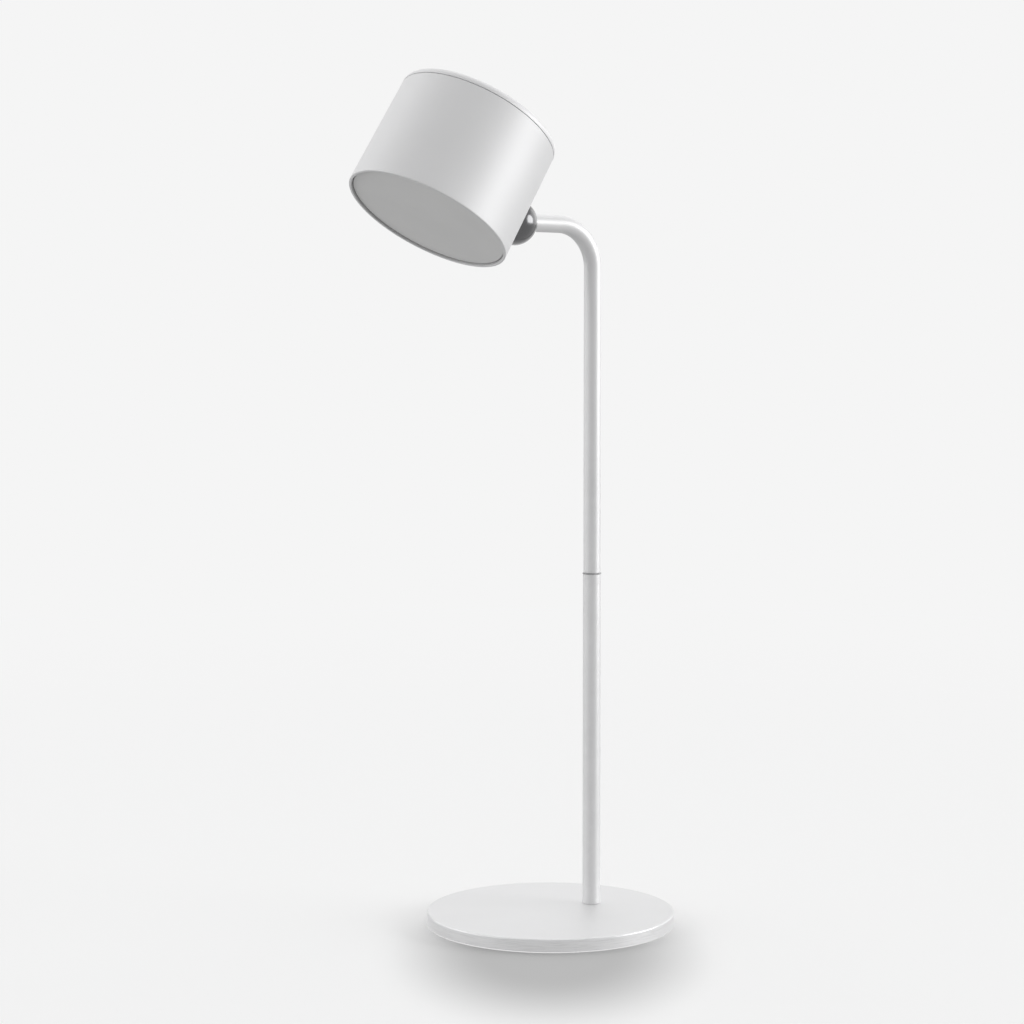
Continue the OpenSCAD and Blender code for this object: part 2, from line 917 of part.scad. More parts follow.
module top_cap() {
  color(satin_white)
    at_head()
      difference() {
        union() {
          rotate_extrude()
            cap_profile();
          translate([0, 0, cap_inside - sleeve_l])
            cylinder(r = sleeve_r + 1.5, h = sleeve_l + cap_t / 2);
          for (p = post_places)
            translate([p[0], p[1], board_top])
              cylinder(d = post_d, h = board_drop + cap_t / 2);
          for (a = cap_boss_angles)
            around(a, cap_boss_at)
              translate([0, 0, cap_seat_z])
                cylinder(r = cap_boss_r, h = cap_inside + cap_t / 2 - cap_seat_z);
        }
        translate([0, 0, cap_inside - sleeve_l - 1])
          cylinder(r = sleeve_r, h = sleeve_l + 1);
        translate([0, 0, cap_inside - 1])
          cylinder(r = button_hole_r, h = cap_t + 2);
        for (p = post_places)
          translate([p[0], p[1], board_top - 1])
            cylinder(r = small_r + thread_gap, h = 8);
        for (a = cap_boss_angles)
          around(a, cap_boss_at)
            translate([0, 0, cap_seat_z - 1])
              cylinder(r = head_screw_r + thread_gap, h = cap_screw_l - cap_boss_l + 2);
      }
}

module cap_screws() {
  color(bright_steel)
    at_head()
      for (a = cap_boss_angles)
        around(a, cap_boss_at)
          translate([0, 0, cap_seat_z - cap_boss_l])
            pan_screw(head_screw_r, cap_screw_l, pan_r, pan_h);
}

// ---- Light ----

// Section of the diffuser's disc, with its visible edge rounded
module diffuser_disc() {
  disc_r = wall_in(recess) - diffuser_gap;
  translate([0, recess + diffuser_round])
    square([disc_r, diffuser_t - diffuser_round]);
  translate([0, recess])
    square([disc_r - diffuser_round, diffuser_t]);
  intersection() {
    translate([disc_r - diffuser_round, recess + diffuser_round])
      circle(diffuser_round);
    translate([disc_r - diffuser_round, recess])
      square(diffuser_round);
  }
}

module diffuser() {
  color(opal)
    at_head()
      rotate_extrude()
        union() {
          diffuser_disc();
          translate([skirt_r - skirt_t, diffuser_top])
            square([skirt_t, rib_h + end_gap + bead_h]);
          polygon([
            [skirt_r - skirt_t / 2, bead_z],
            [skirt_r + bead_w, bead_z],
            [skirt_r, bead_z + bead_h],
            [skirt_r - skirt_t / 2, bead_z + bead_h]
          ]);
        }
}

module reflector() {
  inner_top = led_board_d / 2 + drop_gap;
  inner_foot = skirt_r - skirt_t - drop_gap - reflector_t * 1.4;
  color(opal)
    at_head()
      rotate_extrude()
        polygon([
          [inner_foot, diffuser_top + end_gap],
          [inner_foot + reflector_t * 1.4, diffuser_top + end_gap],
          [inner_top + reflector_t * 1.4, light_z],
          [inner_top, light_z]
        ]);
}

module heat_plate() {
  color(bright_steel)
    at_head()
      difference() {
        translate([0, 0, light_z])
          cylinder(r = plate_r, h = plate_t);
        for (a = plate_boss_angles)
          around(a, plate_boss_at) {
            translate([0, 0, light_z - 1])
              cylinder(r = head_screw_r + hole_gap, h = plate_t + 2);
            translate([0, 0, light_z - 1])
              cylinder(r = csk_r + hole_gap, h = 1);
            translate([0, 0, light_z])
              cylinder(r1 = csk_r + hole_gap, r2 = head_screw_r + hole_gap, h = csk_h);
          }
        for (p = tray_places)
          translate([p[0], p[1], light_z - 1])
            cylinder(r = head_screw_r + thread_gap, h = plate_t + 2);
        for (a = led_screw_angles)
          around(a, led_screw_at)
            translate([0, 0, light_z - 1])
              cylinder(r = small_r + thread_gap, h = plate_t + 2);
        translate([0, tray_half_w, light_z - 1])
          cylinder(r = 4, h = plate_t + 2);
      }
}

module plate_screws() {
  color(bright_steel)
    at_head()
      for (a = plate_boss_angles)
        around(a, plate_boss_at)
          translate([0, 0, light_z])
            csk_screw(head_screw_r, plate_t + plate_screw_l - 1, csk_r, csk_h);
}

module led_board() {
  color(satin_white)
    at_head()
      translate([0, 0, led_board_z])
        difference() {
          cylinder(d = led_board_d, h = led_board_t);
          for (a = led_screw_angles)
            around(a, led_screw_at)
              translate([0, 0, -1])
                cylinder(r = small_r + hole_gap, h = led_board_t + 2);
        }
}

module led_chip() {
  translate([-led_w / 2, -led_w / 2, led_board_z - led_t])
    cube([led_w, led_w, led_t]);
}

module led_chips() {
  color(light_yellow)
    at_head() {
      led_chip();
      for (ring = [1:led_rings])
        for (i = [0:6 * ring - 1])
          around(i * 60 / ring, ring * led_pitch)
            led_chip();
    }
}

module led_screws() {
  color(bright_steel)
    at_head()
      for (a = led_screw_angles)
        around(a, led_screw_at)
          translate([0, 0, led_board_z])
            pan_screw(small_r, led_board_t + plate_t - 0.2, small_head_r, small_head_h);
}

// ---- Battery ----

// Both cells, or the room round them
module cell_pair(r, half_l) {
  for (s = [-1, 1])
    translate([-half_l, -tray_y + s * cell_pitch / 2, cell_z])
      rotate([0, 90, 0])
        cylinder(r = r, h = 2 * half_l);
}

module battery_tray() {
  color(inner_grey)
    at_head()
      difference() {
        union() {
          translate([-tray_half_l, -tray_y - tray_half_w, light_top])
            cube([2 * tray_half_l, 2 * tray_half_w, cell_z - light_top]);
          for (p = tray_places)
            translate([p[0], p[1], light_top]) {
              cylinder(r = tray_ear_r, h = tray_ear_h);
              translate([-tray_ear_r, p[1] > -tray_y ? -tray_ear_r : 0, 0])
                cube([2 * tray_ear_r, tray_ear_r, tray_ear_h]);
            }
        }
        cell_pair(cell_r + drop_gap, cell_l / 2 + contact_room);
        for (p = tray_places)
          translate([p[0], p[1], light_top - 1])
            cylinder(r = head_screw_r + hole_gap, h = tray_ear_h + 2);
      }
}

module battery_cells() {
  color(cell_blue)
    at_head()
      for (s = [-1, 1])
        translate([-cell_l / 2, -tray_y + s * cell_pitch / 2, cell_z])
          rotate([0, 90, 0]) {
            eased_rod(cell_r, cell_l - 0.8, 0.6);
            translate([0, 0, cell_l - 1.8])
              cylinder(r = cell_r * 0.32, h = 1.8);
          }
}

module cell_contacts() {
  plate_h = cell_r * 1.2;
  color(bright_steel)
    at_head()
      for (s = [-1, 1])
        for (e = [0, 180])
          translate([0, -tray_y + s * cell_pitch / 2, cell_z])
            rotate([0, 0, e]) {
              translate([cell_l / 2 + contact_room - contact_t, -cell_r / 2, -plate_h / 2])
                cube([contact_t, cell_r, plate_h]);
              translate([cell_l / 2 + end_gap, 0, 0])
                rotate([0, 90, 0])
                  cylinder(r = cell_r * 0.3, h = contact_room - end_gap - contact_t / 2);
            }
}

module tray_screws() {
  color(bright_steel)
    at_head()
      for (p = tray_places)
        translate([p[0], p[1], light_top + tray_ear_h])
          rotate([180, 0, 0])
            pan_screw(head_screw_r, tray_ear_h + plate_t - 0.2, pan_r, pan_h);
}

// ---- Controls ----

module control_board() {
  color(board_green)
    at_head()
      difference() {
        translate([-board_half_w, -board_front, board_z])
          cube([2 * board_half_w, board_front + board_rear, board_t]);
        for (p = post_places)
          translate([p[0], p[1], board_z - 1])
            cylinder(r = small_r + hole_gap, h = board_t + 2);
      }
}

module board_screws() {
  color(bright_steel)
    at_head()
      for (p = post_places)
        translate([p[0], p[1], board_z])
          pan_screw(small_r, board_t + 5, small_head_r, small_head_h);
}

// Coil, capacitor and two chips under the control board
module board_parts() {
  color(dark_steel)
    at_head() {
      translate([0, 0, board_z - coil_h])
        cylinder(d = coil_d, h = coil_h);
      translate([board_half_w * 0.55, coil_d, board_z - capacitor_h])
        cylinder(d = capacitor_d, h = capacitor_h);
      translate([-board_half_w * 0.75, coil_d / 2, board_z - chip_h])
        cube([chip_w, chip_w, chip_h]);
      translate([-chip_w / 2, coil_d * 1.8, board_z - chip_h])
        cube([chip_w, chip_w, chip_h]);
    }
}

module power_switch() {
  color(dark_steel)
    at_head()
      difference() {
        translate([-switch_w / 2, -switch_w / 2, board_top])
          cube([switch_w, switch_w, switch_h]);
        translate([0, 0, switch_top - stem_in - button_travel - 1])
          cylinder(r = stem_r + run_gap, h = stem_in + button_travel + 2);
      }
}

module power_button() {
  color(satin_white)
    at_head() {
      translate([0, 0, flange_z])
        rotate_extrude()
          polygon([
            [0, 0],
            [flange_r, 0],
            [flange_r, button_flange_t],
            [button_r, button_flange_t],
            [button_r, head_h + button_proud - flange_z - 0.5],
            [button_r - 0.5, head_h + button_proud - flange_z],
            [0, head_h + button_proud - flange_z]
          ]);
      translate([0, 0, switch_top - stem_in])
        cylinder(r = stem_r, h = flange_z - switch_top + stem_in + 1);
    }
}

module charging_inlet() {
  end_r = usb_h / 2;
  end_x = usb_w / 2 - end_r;
  color(bright_steel)
    at_head()
      translate([0, usb_mouth - usb_l, usb_mid_z])
        rotate([-90, 0, 0])
          difference() {
            union() {
              for (s = [-1, 1])
                translate([s * end_x, 0, 0])
                  cylinder(r = end_r, h = usb_l);
              translate([-end_x, -end_r, 0])
                cube([2 * end_x, usb_h, usb_l]);
            }
            translate([0, 0, 1]) {
              difference() {
                union() {
                  for (s = [-1, 1])
                    translate([s * end_x, 0, 0])
                      cylinder(r = end_r - 0.3, h = usb_l);
                  translate([-end_x, -end_r + 0.3, 0])
                    cube([2 * end_x, usb_h - 0.6, usb_l]);
                }
                translate([-end_x, -0.35, -1])
                  cube([2 * end_x, 0.7, usb_l - 1]);
              }
            }
          }
}

base_plate();
base_pad();
pole_bolt();
pole_washer();
foot_insert();
lower_tube();
joint_socket();
joint_gasket();
joint_stud();
upper_tube();
arm_plug();
ball_stud();
ball();
seat_liner();
socket_cup();
magnet();
magnet_pot();
magnet_cover();
socket_screws();
shade_shell();
top_cap();
cap_screws();
power_button();
power_switch();
control_board();
board_parts();
board_screws();
charging_inlet();
battery_tray();
battery_cells();
cell_contacts();
tray_screws();
heat_plate();
plate_screws();
led_board();
led_chips();
led_screws();
reflector();
diffuser();
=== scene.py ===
import json
import math

import bmesh
import bpy
from bpy.props import FloatProperty, FloatVectorProperty, IntProperty, PointerProperty
from mathutils import Matrix, Vector


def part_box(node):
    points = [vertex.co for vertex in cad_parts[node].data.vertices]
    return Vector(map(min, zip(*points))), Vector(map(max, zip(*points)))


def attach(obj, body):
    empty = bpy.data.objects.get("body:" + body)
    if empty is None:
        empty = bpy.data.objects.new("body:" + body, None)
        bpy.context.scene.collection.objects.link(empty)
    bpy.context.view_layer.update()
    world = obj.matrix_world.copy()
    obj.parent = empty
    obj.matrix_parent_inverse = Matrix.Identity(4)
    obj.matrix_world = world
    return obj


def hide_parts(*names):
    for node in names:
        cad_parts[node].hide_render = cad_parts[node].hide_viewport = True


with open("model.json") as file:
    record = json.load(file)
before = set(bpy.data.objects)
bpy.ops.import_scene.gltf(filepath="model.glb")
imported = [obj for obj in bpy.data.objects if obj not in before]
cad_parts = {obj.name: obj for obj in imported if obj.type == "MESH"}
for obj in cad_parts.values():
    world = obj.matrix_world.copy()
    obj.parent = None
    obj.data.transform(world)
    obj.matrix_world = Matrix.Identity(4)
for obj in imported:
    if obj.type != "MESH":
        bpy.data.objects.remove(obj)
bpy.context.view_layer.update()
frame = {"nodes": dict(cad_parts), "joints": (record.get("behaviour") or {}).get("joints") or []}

bl_info = {
    "name": "Desk lamp",
    "version": (1, 0, 0),
    "blender": (4, 5, 0),
    "location": "View3D > Sidebar > Desk lamp",
    "description": "Dresses the packed desk lamp with finished pieces, finishes and a studio",
    "category": "Object",
}

MM = 0.001
MICRON = 0.000001
HEAD = "head"
STAND = "stand"

# What the frame says about the lamp's places
BASE_LOW, BASE_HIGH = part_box("base_plate")
LOWER_LOW, LOWER_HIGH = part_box("lower_tube")
UPPER_LOW, UPPER_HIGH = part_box("upper_tube")
GASKET_LOW, GASKET_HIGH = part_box("joint_gasket")
BALL_LOW, BALL_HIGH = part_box("ball")
BASE_R = (BASE_HIGH.x - BASE_LOW.x) / 2
LOWER_R = (LOWER_HIGH.x - LOWER_LOW.x) / 2
UPPER_R = (UPPER_HIGH.x - UPPER_LOW.x) / 2
GASKET_R = (GASKET_HIGH.x - GASKET_LOW.x) / 2
BALL_R = (BALL_HIGH.x - BALL_LOW.x) / 2
BALL_CENTRE = Vector((0, BALL_LOW.y + BALL_R, (BALL_LOW.z + BALL_HIGH.z) / 2))
POLE_Y = (LOWER_LOW.y + LOWER_HIGH.y) / 2
ARM_Z = UPPER_HIGH.z - UPPER_R
PRESS_AXIS = next(j["axis"] for j in frame["joints"] if j["name"] == "power_press")
HEAD_TILT = math.atan2(-PRESS_AXIS[1], -PRESS_AXIS[2])


# ---------------------------------------------------------------- properties


def length_prop(name, description, millimetres, **limits):
    """A length, with its default in millimetres."""
    return FloatProperty(
        name=name, description=description, default=millimetres * MM, unit="LENGTH", **limits
    )


def colour_prop(name, description, default):
    """A colour."""
    return FloatVectorProperty(
        name=name, description=description, default=default, subtype="COLOR", size=3, min=0, max=1
    )


def share_prop(name, description, default):
    """A value from 0 to 1."""
    return FloatProperty(
        name=name, description=description, default=default, subtype="FACTOR", min=0, max=1
    )


def strength_prop(name, description, default):
    """A strength of 0 or more."""
    return FloatProperty(name=name, description=description, default=default, min=0)


class LampSizes(bpy.types.PropertyGroup):
    """Sizes of the finished pieces"""

    base_round: length_prop(
        "Base top round", "Round on the top edge of the base", 1.0, min=0.1 * MM
    )
    base_bevel: length_prop(
        "Base foot bevel", "Bevel on the bottom edge of the base", 0.4, min=0.1 * MM
    )
    pad_diameter: length_prop("Pad diameter", "Diameter of the anti-slip pad under the base", 148)
    pad_thickness: length_prop("Pad thickness", "Thickness of the anti-slip pad", 1.6)
    pad_hole: length_prop("Pad hole", "Diameter of the pad's hole at the pole bolt", 26)
    dot_pitch: length_prop("Dot pitch", "Distance between the pad's raised dots", 5.2, min=2 * MM)
    dot_diameter: length_prop("Dot diameter", "Diameter of one raised dot", 2.6)
    dot_height: length_prop("Dot height", "Height of one raised dot", 0.25)
    tube_bore: length_prop("Tube bore", "Bore of the pole's tubes", 9)
    tube_bevel: length_prop("Tube end bevel", "Bevel on the ends of the tubes", 0.3)
    bend_radius: length_prop("Bend radius", "Radius of the arm's bend on its centre line", 28)
    gasket_bore: length_prop("Gasket bore", "Bore of the gasket between the tubes", 6.3)
    rim_diameter: length_prop("Head diameter", "Diameter of the head at its rim", 110)
    head_taper: length_prop("Head taper", "How much narrower the head is at its top", 2.4)
    head_height: length_prop("Head height", "Height of the head from rim to cap", 79.5)
    ball_height: length_prop("Ball height", "Height of the ball's centre above the rim", 36.5)
    ball_out: length_prop(
        "Ball offset", "How far the ball's centre stands outside the head's wall", 3.15
    )
    wall: length_prop("Shade wall", "Wall thickness of the shade", 2)
    diffuser_recess: length_prop("Diffuser recess", "Depth of the diffuser inside the rim", 1.6)
    diffuser_gap: length_prop("Diffuser gap", "Gap between the diffuser's edge and the wall", 0.4)
    button_diameter: length_prop("Button diameter", "Diameter of the power button", 15)
    button_dish: length_prop("Button dish", "Depth of the dish in the power button's top", 0.35)
    light_pitch: length_prop("Light pitch", "Distance between two rings of light chips", 12)
    turn_segments: IntProperty(
        name="Turned segments", description="Segments round a turned piece", default=192, min=24
    )


class LampFinishes(bpy.types.PropertyGroup):
    """Colours and surface values of the finishes"""

    paint: colour_prop("Paint", "Colour of the painted steel", (0.732, 0.732, 0.737))
    bare_edge: colour_prop("Bare edge", "Colour of the base's bare foot bevel", (0.9, 0.9, 0.9))
    plastic: colour_prop("Shade plastic", "Colour of the moulded head", (0.732, 0.732, 0.737))
    # The head's inside gets a darker grey: painted shade standing in for the shade that falls in
    # the rim's recess
    shade_inside: colour_prop(
        "Shade inside", "Colour of the head's unpainted inside", (0.5, 0.5, 0.502)
    )
    polish: colour_prop("Ball metal", "Colour of the polished ball", (0.075, 0.075, 0.078))
    opal: colour_prop("Diffuser", "Colour of the unlit diffuser", (0.88, 0.88, 0.875))
    rubber: colour_prop("Rubber", "Colour of the pad", (0.035, 0.035, 0.037))
    gasket: colour_prop("Gasket", "Colour of the gasket between the tubes", (0.5, 0.5, 0.505))
    flake: share_prop("Flake", "Share of fine metal flake in the satin paint and plastic", 0.3)
    paint_roughness: share_prop("Paint roughness", "Roughness of the painted steel", 0.48)
    plastic_roughness: share_prop("Shade roughness", "Roughness of the moulded head", 0.57)


class LampStudio(bpy.types.PropertyGroup):
    """Light, backdrop and camera"""

    backdrop: colour_prop("Backdrop", "Colour of the backdrop", (0.913, 0.913, 0.913))
    ambient: strength_prop("Ambient", "Strength of the even light from all round", 0.555)
    light_level: strength_prop("Light level", "Strength of all the soft lights together", 1.0)
    floor_pale: share_prop("Floor", "How pale the floor looks", 0.97)
    floor_bounce: share_prop(
        "Floor bounce", "How much light the floor throws back on the lamp", 0.34
    )
    # The next four set the shadow painted into the floor's colour in front of the base
    shade_depth: share_prop("Base shade", "How dark the soft shade in front of the base is", 0.44)
    shade_width: length_prop("Shade width", "Half width of the soft shade", 85)
    shade_length: length_prop("Shade length", "Half length of the soft shade", 150)
    shade_offset: length_prop(
        "Shade offset", "How far the soft shade lies in front of the base's middle", 75
    )
    lens: FloatProperty(
        name="Lens", description="Focal length on a 36 mm wide sensor", default=82.40,
        subtype="DISTANCE_CAMERA",
    )
    camera_azimuth: FloatProperty(
        name="Camera azimuth", description="Direction of the camera round the lamp",
        default=math.radians(53.24), subtype="ANGLE",
    )
    camera_distance: length_prop(
        "Camera distance", "Distance of the camera from the lamp's middle", 1546.66
    )
    camera_height: length_prop("Camera height", "Height of the camera above the desk", 372.89)


# ------------------------------------------------------------- node building


def fill_socket(tree, socket, value):
    """Links an output to an input socket, or sets the socket to a value."""
    if isinstance(value, bpy.types.NodeSocket):
        tree.links.new(value, socket)
    else:
        socket.default_value = value


def add_node(tree, kind, values=None, **settings):
    """Adds a node, sets its properties, and fills its inputs by name or index."""
    made = tree.nodes.new(kind)
    for key, value in settings.items():
        setattr(made, key, value)
    for key, value in (values or {}).items():
        fill_socket(tree, made.inputs[key], value)
    return made


def math_node(tree, operation, *values):
    """A Math node's output, from two or three values or sockets."""
    made = add_node(tree, "ShaderNodeMath", dict(enumerate(values)), operation=operation)
    return made.outputs[0]


def times(tree, a, b):
    """a times b."""
    return math_node(tree, "MULTIPLY", a, b)


def minus(tree, a, b):
    """a minus b."""
    return math_node(tree, "SUBTRACT", a, b)


def times_plus(tree, a, b, c):
    """a times b, plus c."""
    return math_node(tree, "MULTIPLY_ADD", a, b, c)


def vector_math(tree, operation, *values):
    """A Vector Math node's result: a length or distance, or else a vector."""
    made = add_node(tree, "ShaderNodeVectorMath", dict(enumerate(values)), operation=operation)
    return made.outputs["Value" if operation in ("LENGTH", "DISTANCE") else "Vector"]


def rotated(tree, vector, angle, axis):
    """A vector turned by an angle about the X or the Z axis."""
    values = {"Vector": vector, "Angle": angle}
    made = add_node(tree, "ShaderNodeVectorRotate", values, rotation_type=axis + "_AXIS")
    return made.outputs[0]


def xyz(tree, x=0.0, y=0.0, z=0.0):
    """A vector from three values or sockets."""
    return add_node(tree, "ShaderNodeCombineXYZ", {0: x, 1: y, 2: z}).outputs[0]


def across_axis(tree, place):
    """How far a place lies from the upright axis."""
    return vector_math(tree, "LENGTH", vector_math(tree, "MULTIPLY", place, (1, 1, 0)))


def blend_value(tree, factor, a, b):
    """Mixes two values by a factor."""
    return add_node(tree, "ShaderNodeMix", {0: factor, 2: a, 3: b}).outputs[0]


def blend_colour(tree, factor, a, b):
    """Mixes two colours by a factor."""
    return add_node(tree, "ShaderNodeMix", {0: factor, 6: a, 7: b}, data_type="RGBA").outputs[2]


def ramp(tree, value, low, high, to_low=0.0, to_high=1.0):
    """Maps a value smoothly from one range to another, held at the ends."""
    values = {0: value, 1: low, 2: high, 3: to_low, 4: to_high}
    made = add_node(tree, "ShaderNodeMapRange", values, interpolation_type="SMOOTHSTEP")
    return made.outputs[0]


def noise(tree, vector, scale, detail=2.0, roughness=0.5):
    """A Noise texture's value."""
    values = {"Vector": vector, "Scale": scale, "Detail": detail, "Roughness": roughness}
    return add_node(tree, "ShaderNodeTexNoise", values).outputs["Fac"]


def wave(tree, direction, values):
    """A Wave texture's value, in bands across a direction."""
    made = add_node(tree, "ShaderNodeTexWave", values, wave_type="BANDS", bands_direction=direction)
    return made.outputs["Fac"]


def socket_kind(label, value=0.0):
    """A group socket's type: the label's last word, or else what its default says."""
    word = label.split()[-1]
    if word in ("Vector", "Color", "Geometry", "Material"):
        return "NodeSocket" + word
    return {float: "NodeSocketFloat", int: "NodeSocketInt", tuple: "NodeSocketVector"}[type(value)]


def new_group(name, kind, inputs, outputs):
    """An empty node group with named sockets: (tree, its inputs, its outputs)."""
    tree = bpy.data.node_groups.new(name, kind)
    for label, value in inputs.items():
        socket = tree.interface.new_socket(
            label, in_out="INPUT", socket_type=socket_kind(label, value)
        )
        if value is not None:
            socket.default_value = value
    for label in outputs:
        tree.interface.new_socket(label, in_out="OUTPUT", socket_type=socket_kind(label))
    return tree, tree.nodes.new("NodeGroupInput").outputs, tree.nodes.new("NodeGroupOutput").inputs


def group_of(make):
    """The node group that a function makes, built on first use and named after it."""
    return bpy.data.node_groups.get(make.__name__) or make(make.__name__)


# ---------------------------------------------------- shared surface effects


def new_effect(name, inputs, outputs):
    """An empty shader group that reads a place on the piece."""
    return new_group(name, "ShaderNodeTree", {"Vector": None, **inputs}, outputs)


def close_effect(tree, end, **results):
    """Links the results to the group's outputs."""
    for label, socket in results.items():
        tree.links.new(socket, end[label])
    return tree


def surface_grain(name):
    """Fine even grain of a powder coat or a mould's texture: a height and a roughness."""
    inputs = {
        "Grain Scale": 1400.0, "Peel Scale": 260.0, "Peel Share": 0.35, "Roughness": 0.42,
        "Roughness Spread": 0.08,
    }
    tree, given, end = new_effect(name, inputs, ["Height", "Roughness"])
    grain = noise(tree, given["Vector"], given["Grain Scale"], 3.0, 0.6)
    peel = noise(tree, given["Vector"], given["Peel Scale"], 1.0, 0.4)
    fine = times(tree, grain, minus(tree, 1.0, given["Peel Share"]))
    height = times_plus(tree, peel, given["Peel Share"], fine)
    centred = minus(tree, grain, 0.5)
    rough = times_plus(tree, centred, given["Roughness Spread"], given["Roughness"])
    return close_effect(tree, end, Height=height, Roughness=rough)


def tone_shift(name):
    """Slow drift of a colour over a surface with a few tiny specks in it."""
    inputs = {
        "Color": (0.8, 0.8, 0.8, 1), "Drift Scale": 18.0, "Drift": 0.04, "Speck Scale": 420.0,
        "Speck": 0.05,
    }
    tree, given, end = new_effect(name, inputs, ["Color"])
    drift = noise(tree, given["Vector"], given["Drift Scale"], 3.0)
    gain = ramp(tree, drift, 0.3, 0.7, minus(tree, 1.0, given["Drift"]), 1.0)
    cells = add_node(
        tree, "ShaderNodeTexVoronoi", {"Vector": given["Vector"], "Scale": given["Speck Scale"]}
    )
    near = ramp(tree, cells.outputs["Distance"], 0.05, 0.14, 1.0, 0.0)
    patches = noise(tree, given["Vector"], given["Drift Scale"], 0.0)
    rare = math_node(tree, "GREATER_THAN", patches, 0.58)
    speck = times(tree, times(tree, near, rare), given["Speck"])
    colour = vector_math(tree, "MULTIPLY", given["Color"], minus(tree, gain, speck))
    return close_effect(tree, end, Color=colour)


def edge_wear(name):
    """Lightens a colour and changes its roughness where a piece's edges are rubbed."""
    inputs = {
        "Color": (0.8, 0.8, 0.8, 1), "Worn Color": (0.95, 0.95, 0.95, 1), "Edge": 0.0,
        "Roughness": 0.4, "Worn Roughness": 0.3, "Amount": 0.5,
    }
    tree, given, end = new_effect(name, inputs, ["Color", "Roughness"])
    broken = ramp(tree, noise(tree, given["Vector"], 90.0, 4.0, 0.6), 0.25, 0.75)
    mask = times(tree, times(tree, broken, given["Edge"]), given["Amount"])
    colour = blend_colour(tree, mask, given["Color"], given["Worn Color"])
    rough = blend_value(tree, mask, given["Roughness"], given["Worn Roughness"])
    return close_effect(tree, end, Color=colour, Roughness=rough)


def hairlines(name):
    """Crossing hairline scratches and soft touch marks on a polished surface."""
    inputs = {
        "Scratch Scale": 900.0, "Stretch": 0.04, "Smudge Scale": 120.0, "Roughness": 0.06,
        "Scratch": 0.08, "Smudge": 0.06,
    }
    tree, given, end = new_effect(name, inputs, ["Roughness", "Height"])
    lines = []
    for turn in (0.4, 2.1):
        values = {"Vector": given["Vector"], "Angle": turn, "Axis": (0.3, 0.8, 0.52)}
        turned = add_node(tree, "ShaderNodeVectorRotate", values).outputs[0]
        squeezed = xyz(tree, 1.0, given["Stretch"], given["Stretch"])
        drawn = vector_math(tree, "MULTIPLY", turned, squeezed)
        lines.append(ramp(tree, noise(tree, drawn, given["Scratch Scale"], 2.0, 0.7), 0.62, 0.72))
    scratch = math_node(tree, "MAXIMUM", *lines)
    smudge = ramp(tree, noise(tree, given["Vector"], given["Smudge Scale"], 4.0, 0.6), 0.5, 0.8)
    scratched = times_plus(tree, scratch, given["Scratch"], given["Roughness"])
    rough = times_plus(tree, smudge, given["Smudge"], scratched)
    return close_effect(tree, end, Roughness=rough, Height=scratch)


def turning_marks(name):
    """Fine level rings left by a lathe."""
    inputs = {"Ring Scale": 900.0, "Roughness": 0.3, "Spread": 0.15}
    tree, given, end = new_effect(name, inputs, ["Roughness", "Height"])
    values = {
        "Vector": given["Vector"], "Scale": given["Ring Scale"], "Distortion": 1.5, "Detail": 2.0,
        "Detail Scale": 3.0,
    }
    rings = wave(tree, "Z", values)
    rough = times_plus(tree, rings, given["Spread"], given["Roughness"])
    return close_effect(tree, end, Roughness=rough, Height=rings)


def side_lines(name):
    """Level lines left on a turned rim, broken up round its way."""
    inputs = {"Line Scale": 2000.0, "Run": 80.0, "Roughness": 0.4, "Spread": 0.12, "Amount": 1.0}
    tree, given, end = new_effect(name, inputs, ["Roughness", "Height", "Tone"])
    stretch = xyz(tree, given["Run"], given["Run"], given["Line Scale"])
    drawn = vector_math(tree, "MULTIPLY", given["Vector"], stretch)
    lines = noise(tree, drawn, 1.0, 3.0, 0.65)
    height = times(tree, lines, given["Amount"])
    tone = times(tree, ramp(tree, lines, 0.42, 0.7), given["Amount"])
    centred = times(tree, minus(tree, lines, 0.5), given["Amount"])
    rough = times_plus(tree, centred, given["Spread"], given["Roughness"])
    return close_effect(tree, end, Roughness=rough, Height=height, Tone=tone)


def effect(tree, make, place, **values):
    """Places a shared effect in a material. Input names have _ for a space."""
    made = tree.nodes.new("ShaderNodeGroup")
    made.node_tree = group_of(make)
    for key, value in {"Vector": place, **values}.items():
        fill_socket(tree, made.inputs[key.replace("_", " ")], value)
    return made.outputs


# ------------------------------------------------------------------ finishes

COAT_WEAR = 0.5
COAT_BUMP = 0.6
COAT_TONE = {"Drift": 0.02, "Speck": 0.06}
SIDE_FLAKE = 0.5
SIDE_POLISH = -0.1
LINE_DARK = 0.88
LINE_DEPTH = 2.0
BARE_ROUGHNESS = 0.24
BARE_METAL = 0.9
PLASTIC_IOR = 1.49

# Plain plastics inside the head: slot, colour, roughness
PLAIN_PLASTICS = [
    ("socket_plastic", (0.62, 0.62, 0.63), 0.42),
    ("tray_plastic", (0.05, 0.05, 0.055), 0.5),
    ("switch_plastic", (0.04, 0.04, 0.045), 0.4),
    ("reflector_plastic", (0.85, 0.85, 0.84), 0.35),
    ("cell_can", (0.06, 0.16, 0.42), 0.3),
]

# Metals: slot, colour, roughness, its spread over the tool marks, scale of the marks
METALS = [
    ("screw_steel", (0.58, 0.58, 0.6), 0.28, 0.14, 1400),
    ("insert_steel", (0.5, 0.5, 0.52), 0.34, 0.2, 700),
    ("magnet_nickel", (0.66, 0.64, 0.6), 0.16, 0.1, 500),
    ("pot_steel", (0.44, 0.44, 0.46), 0.32, 0.16, 800),
    ("inlet_steel", (0.6, 0.6, 0.62), 0.24, 0.1, 1600),
    ("contact_steel", (0.83, 0.62, 0.28), 0.22, 0.1, 1200),
    ("plate_aluminium", (0.74, 0.75, 0.76), 0.36, 0.18, 600),
]

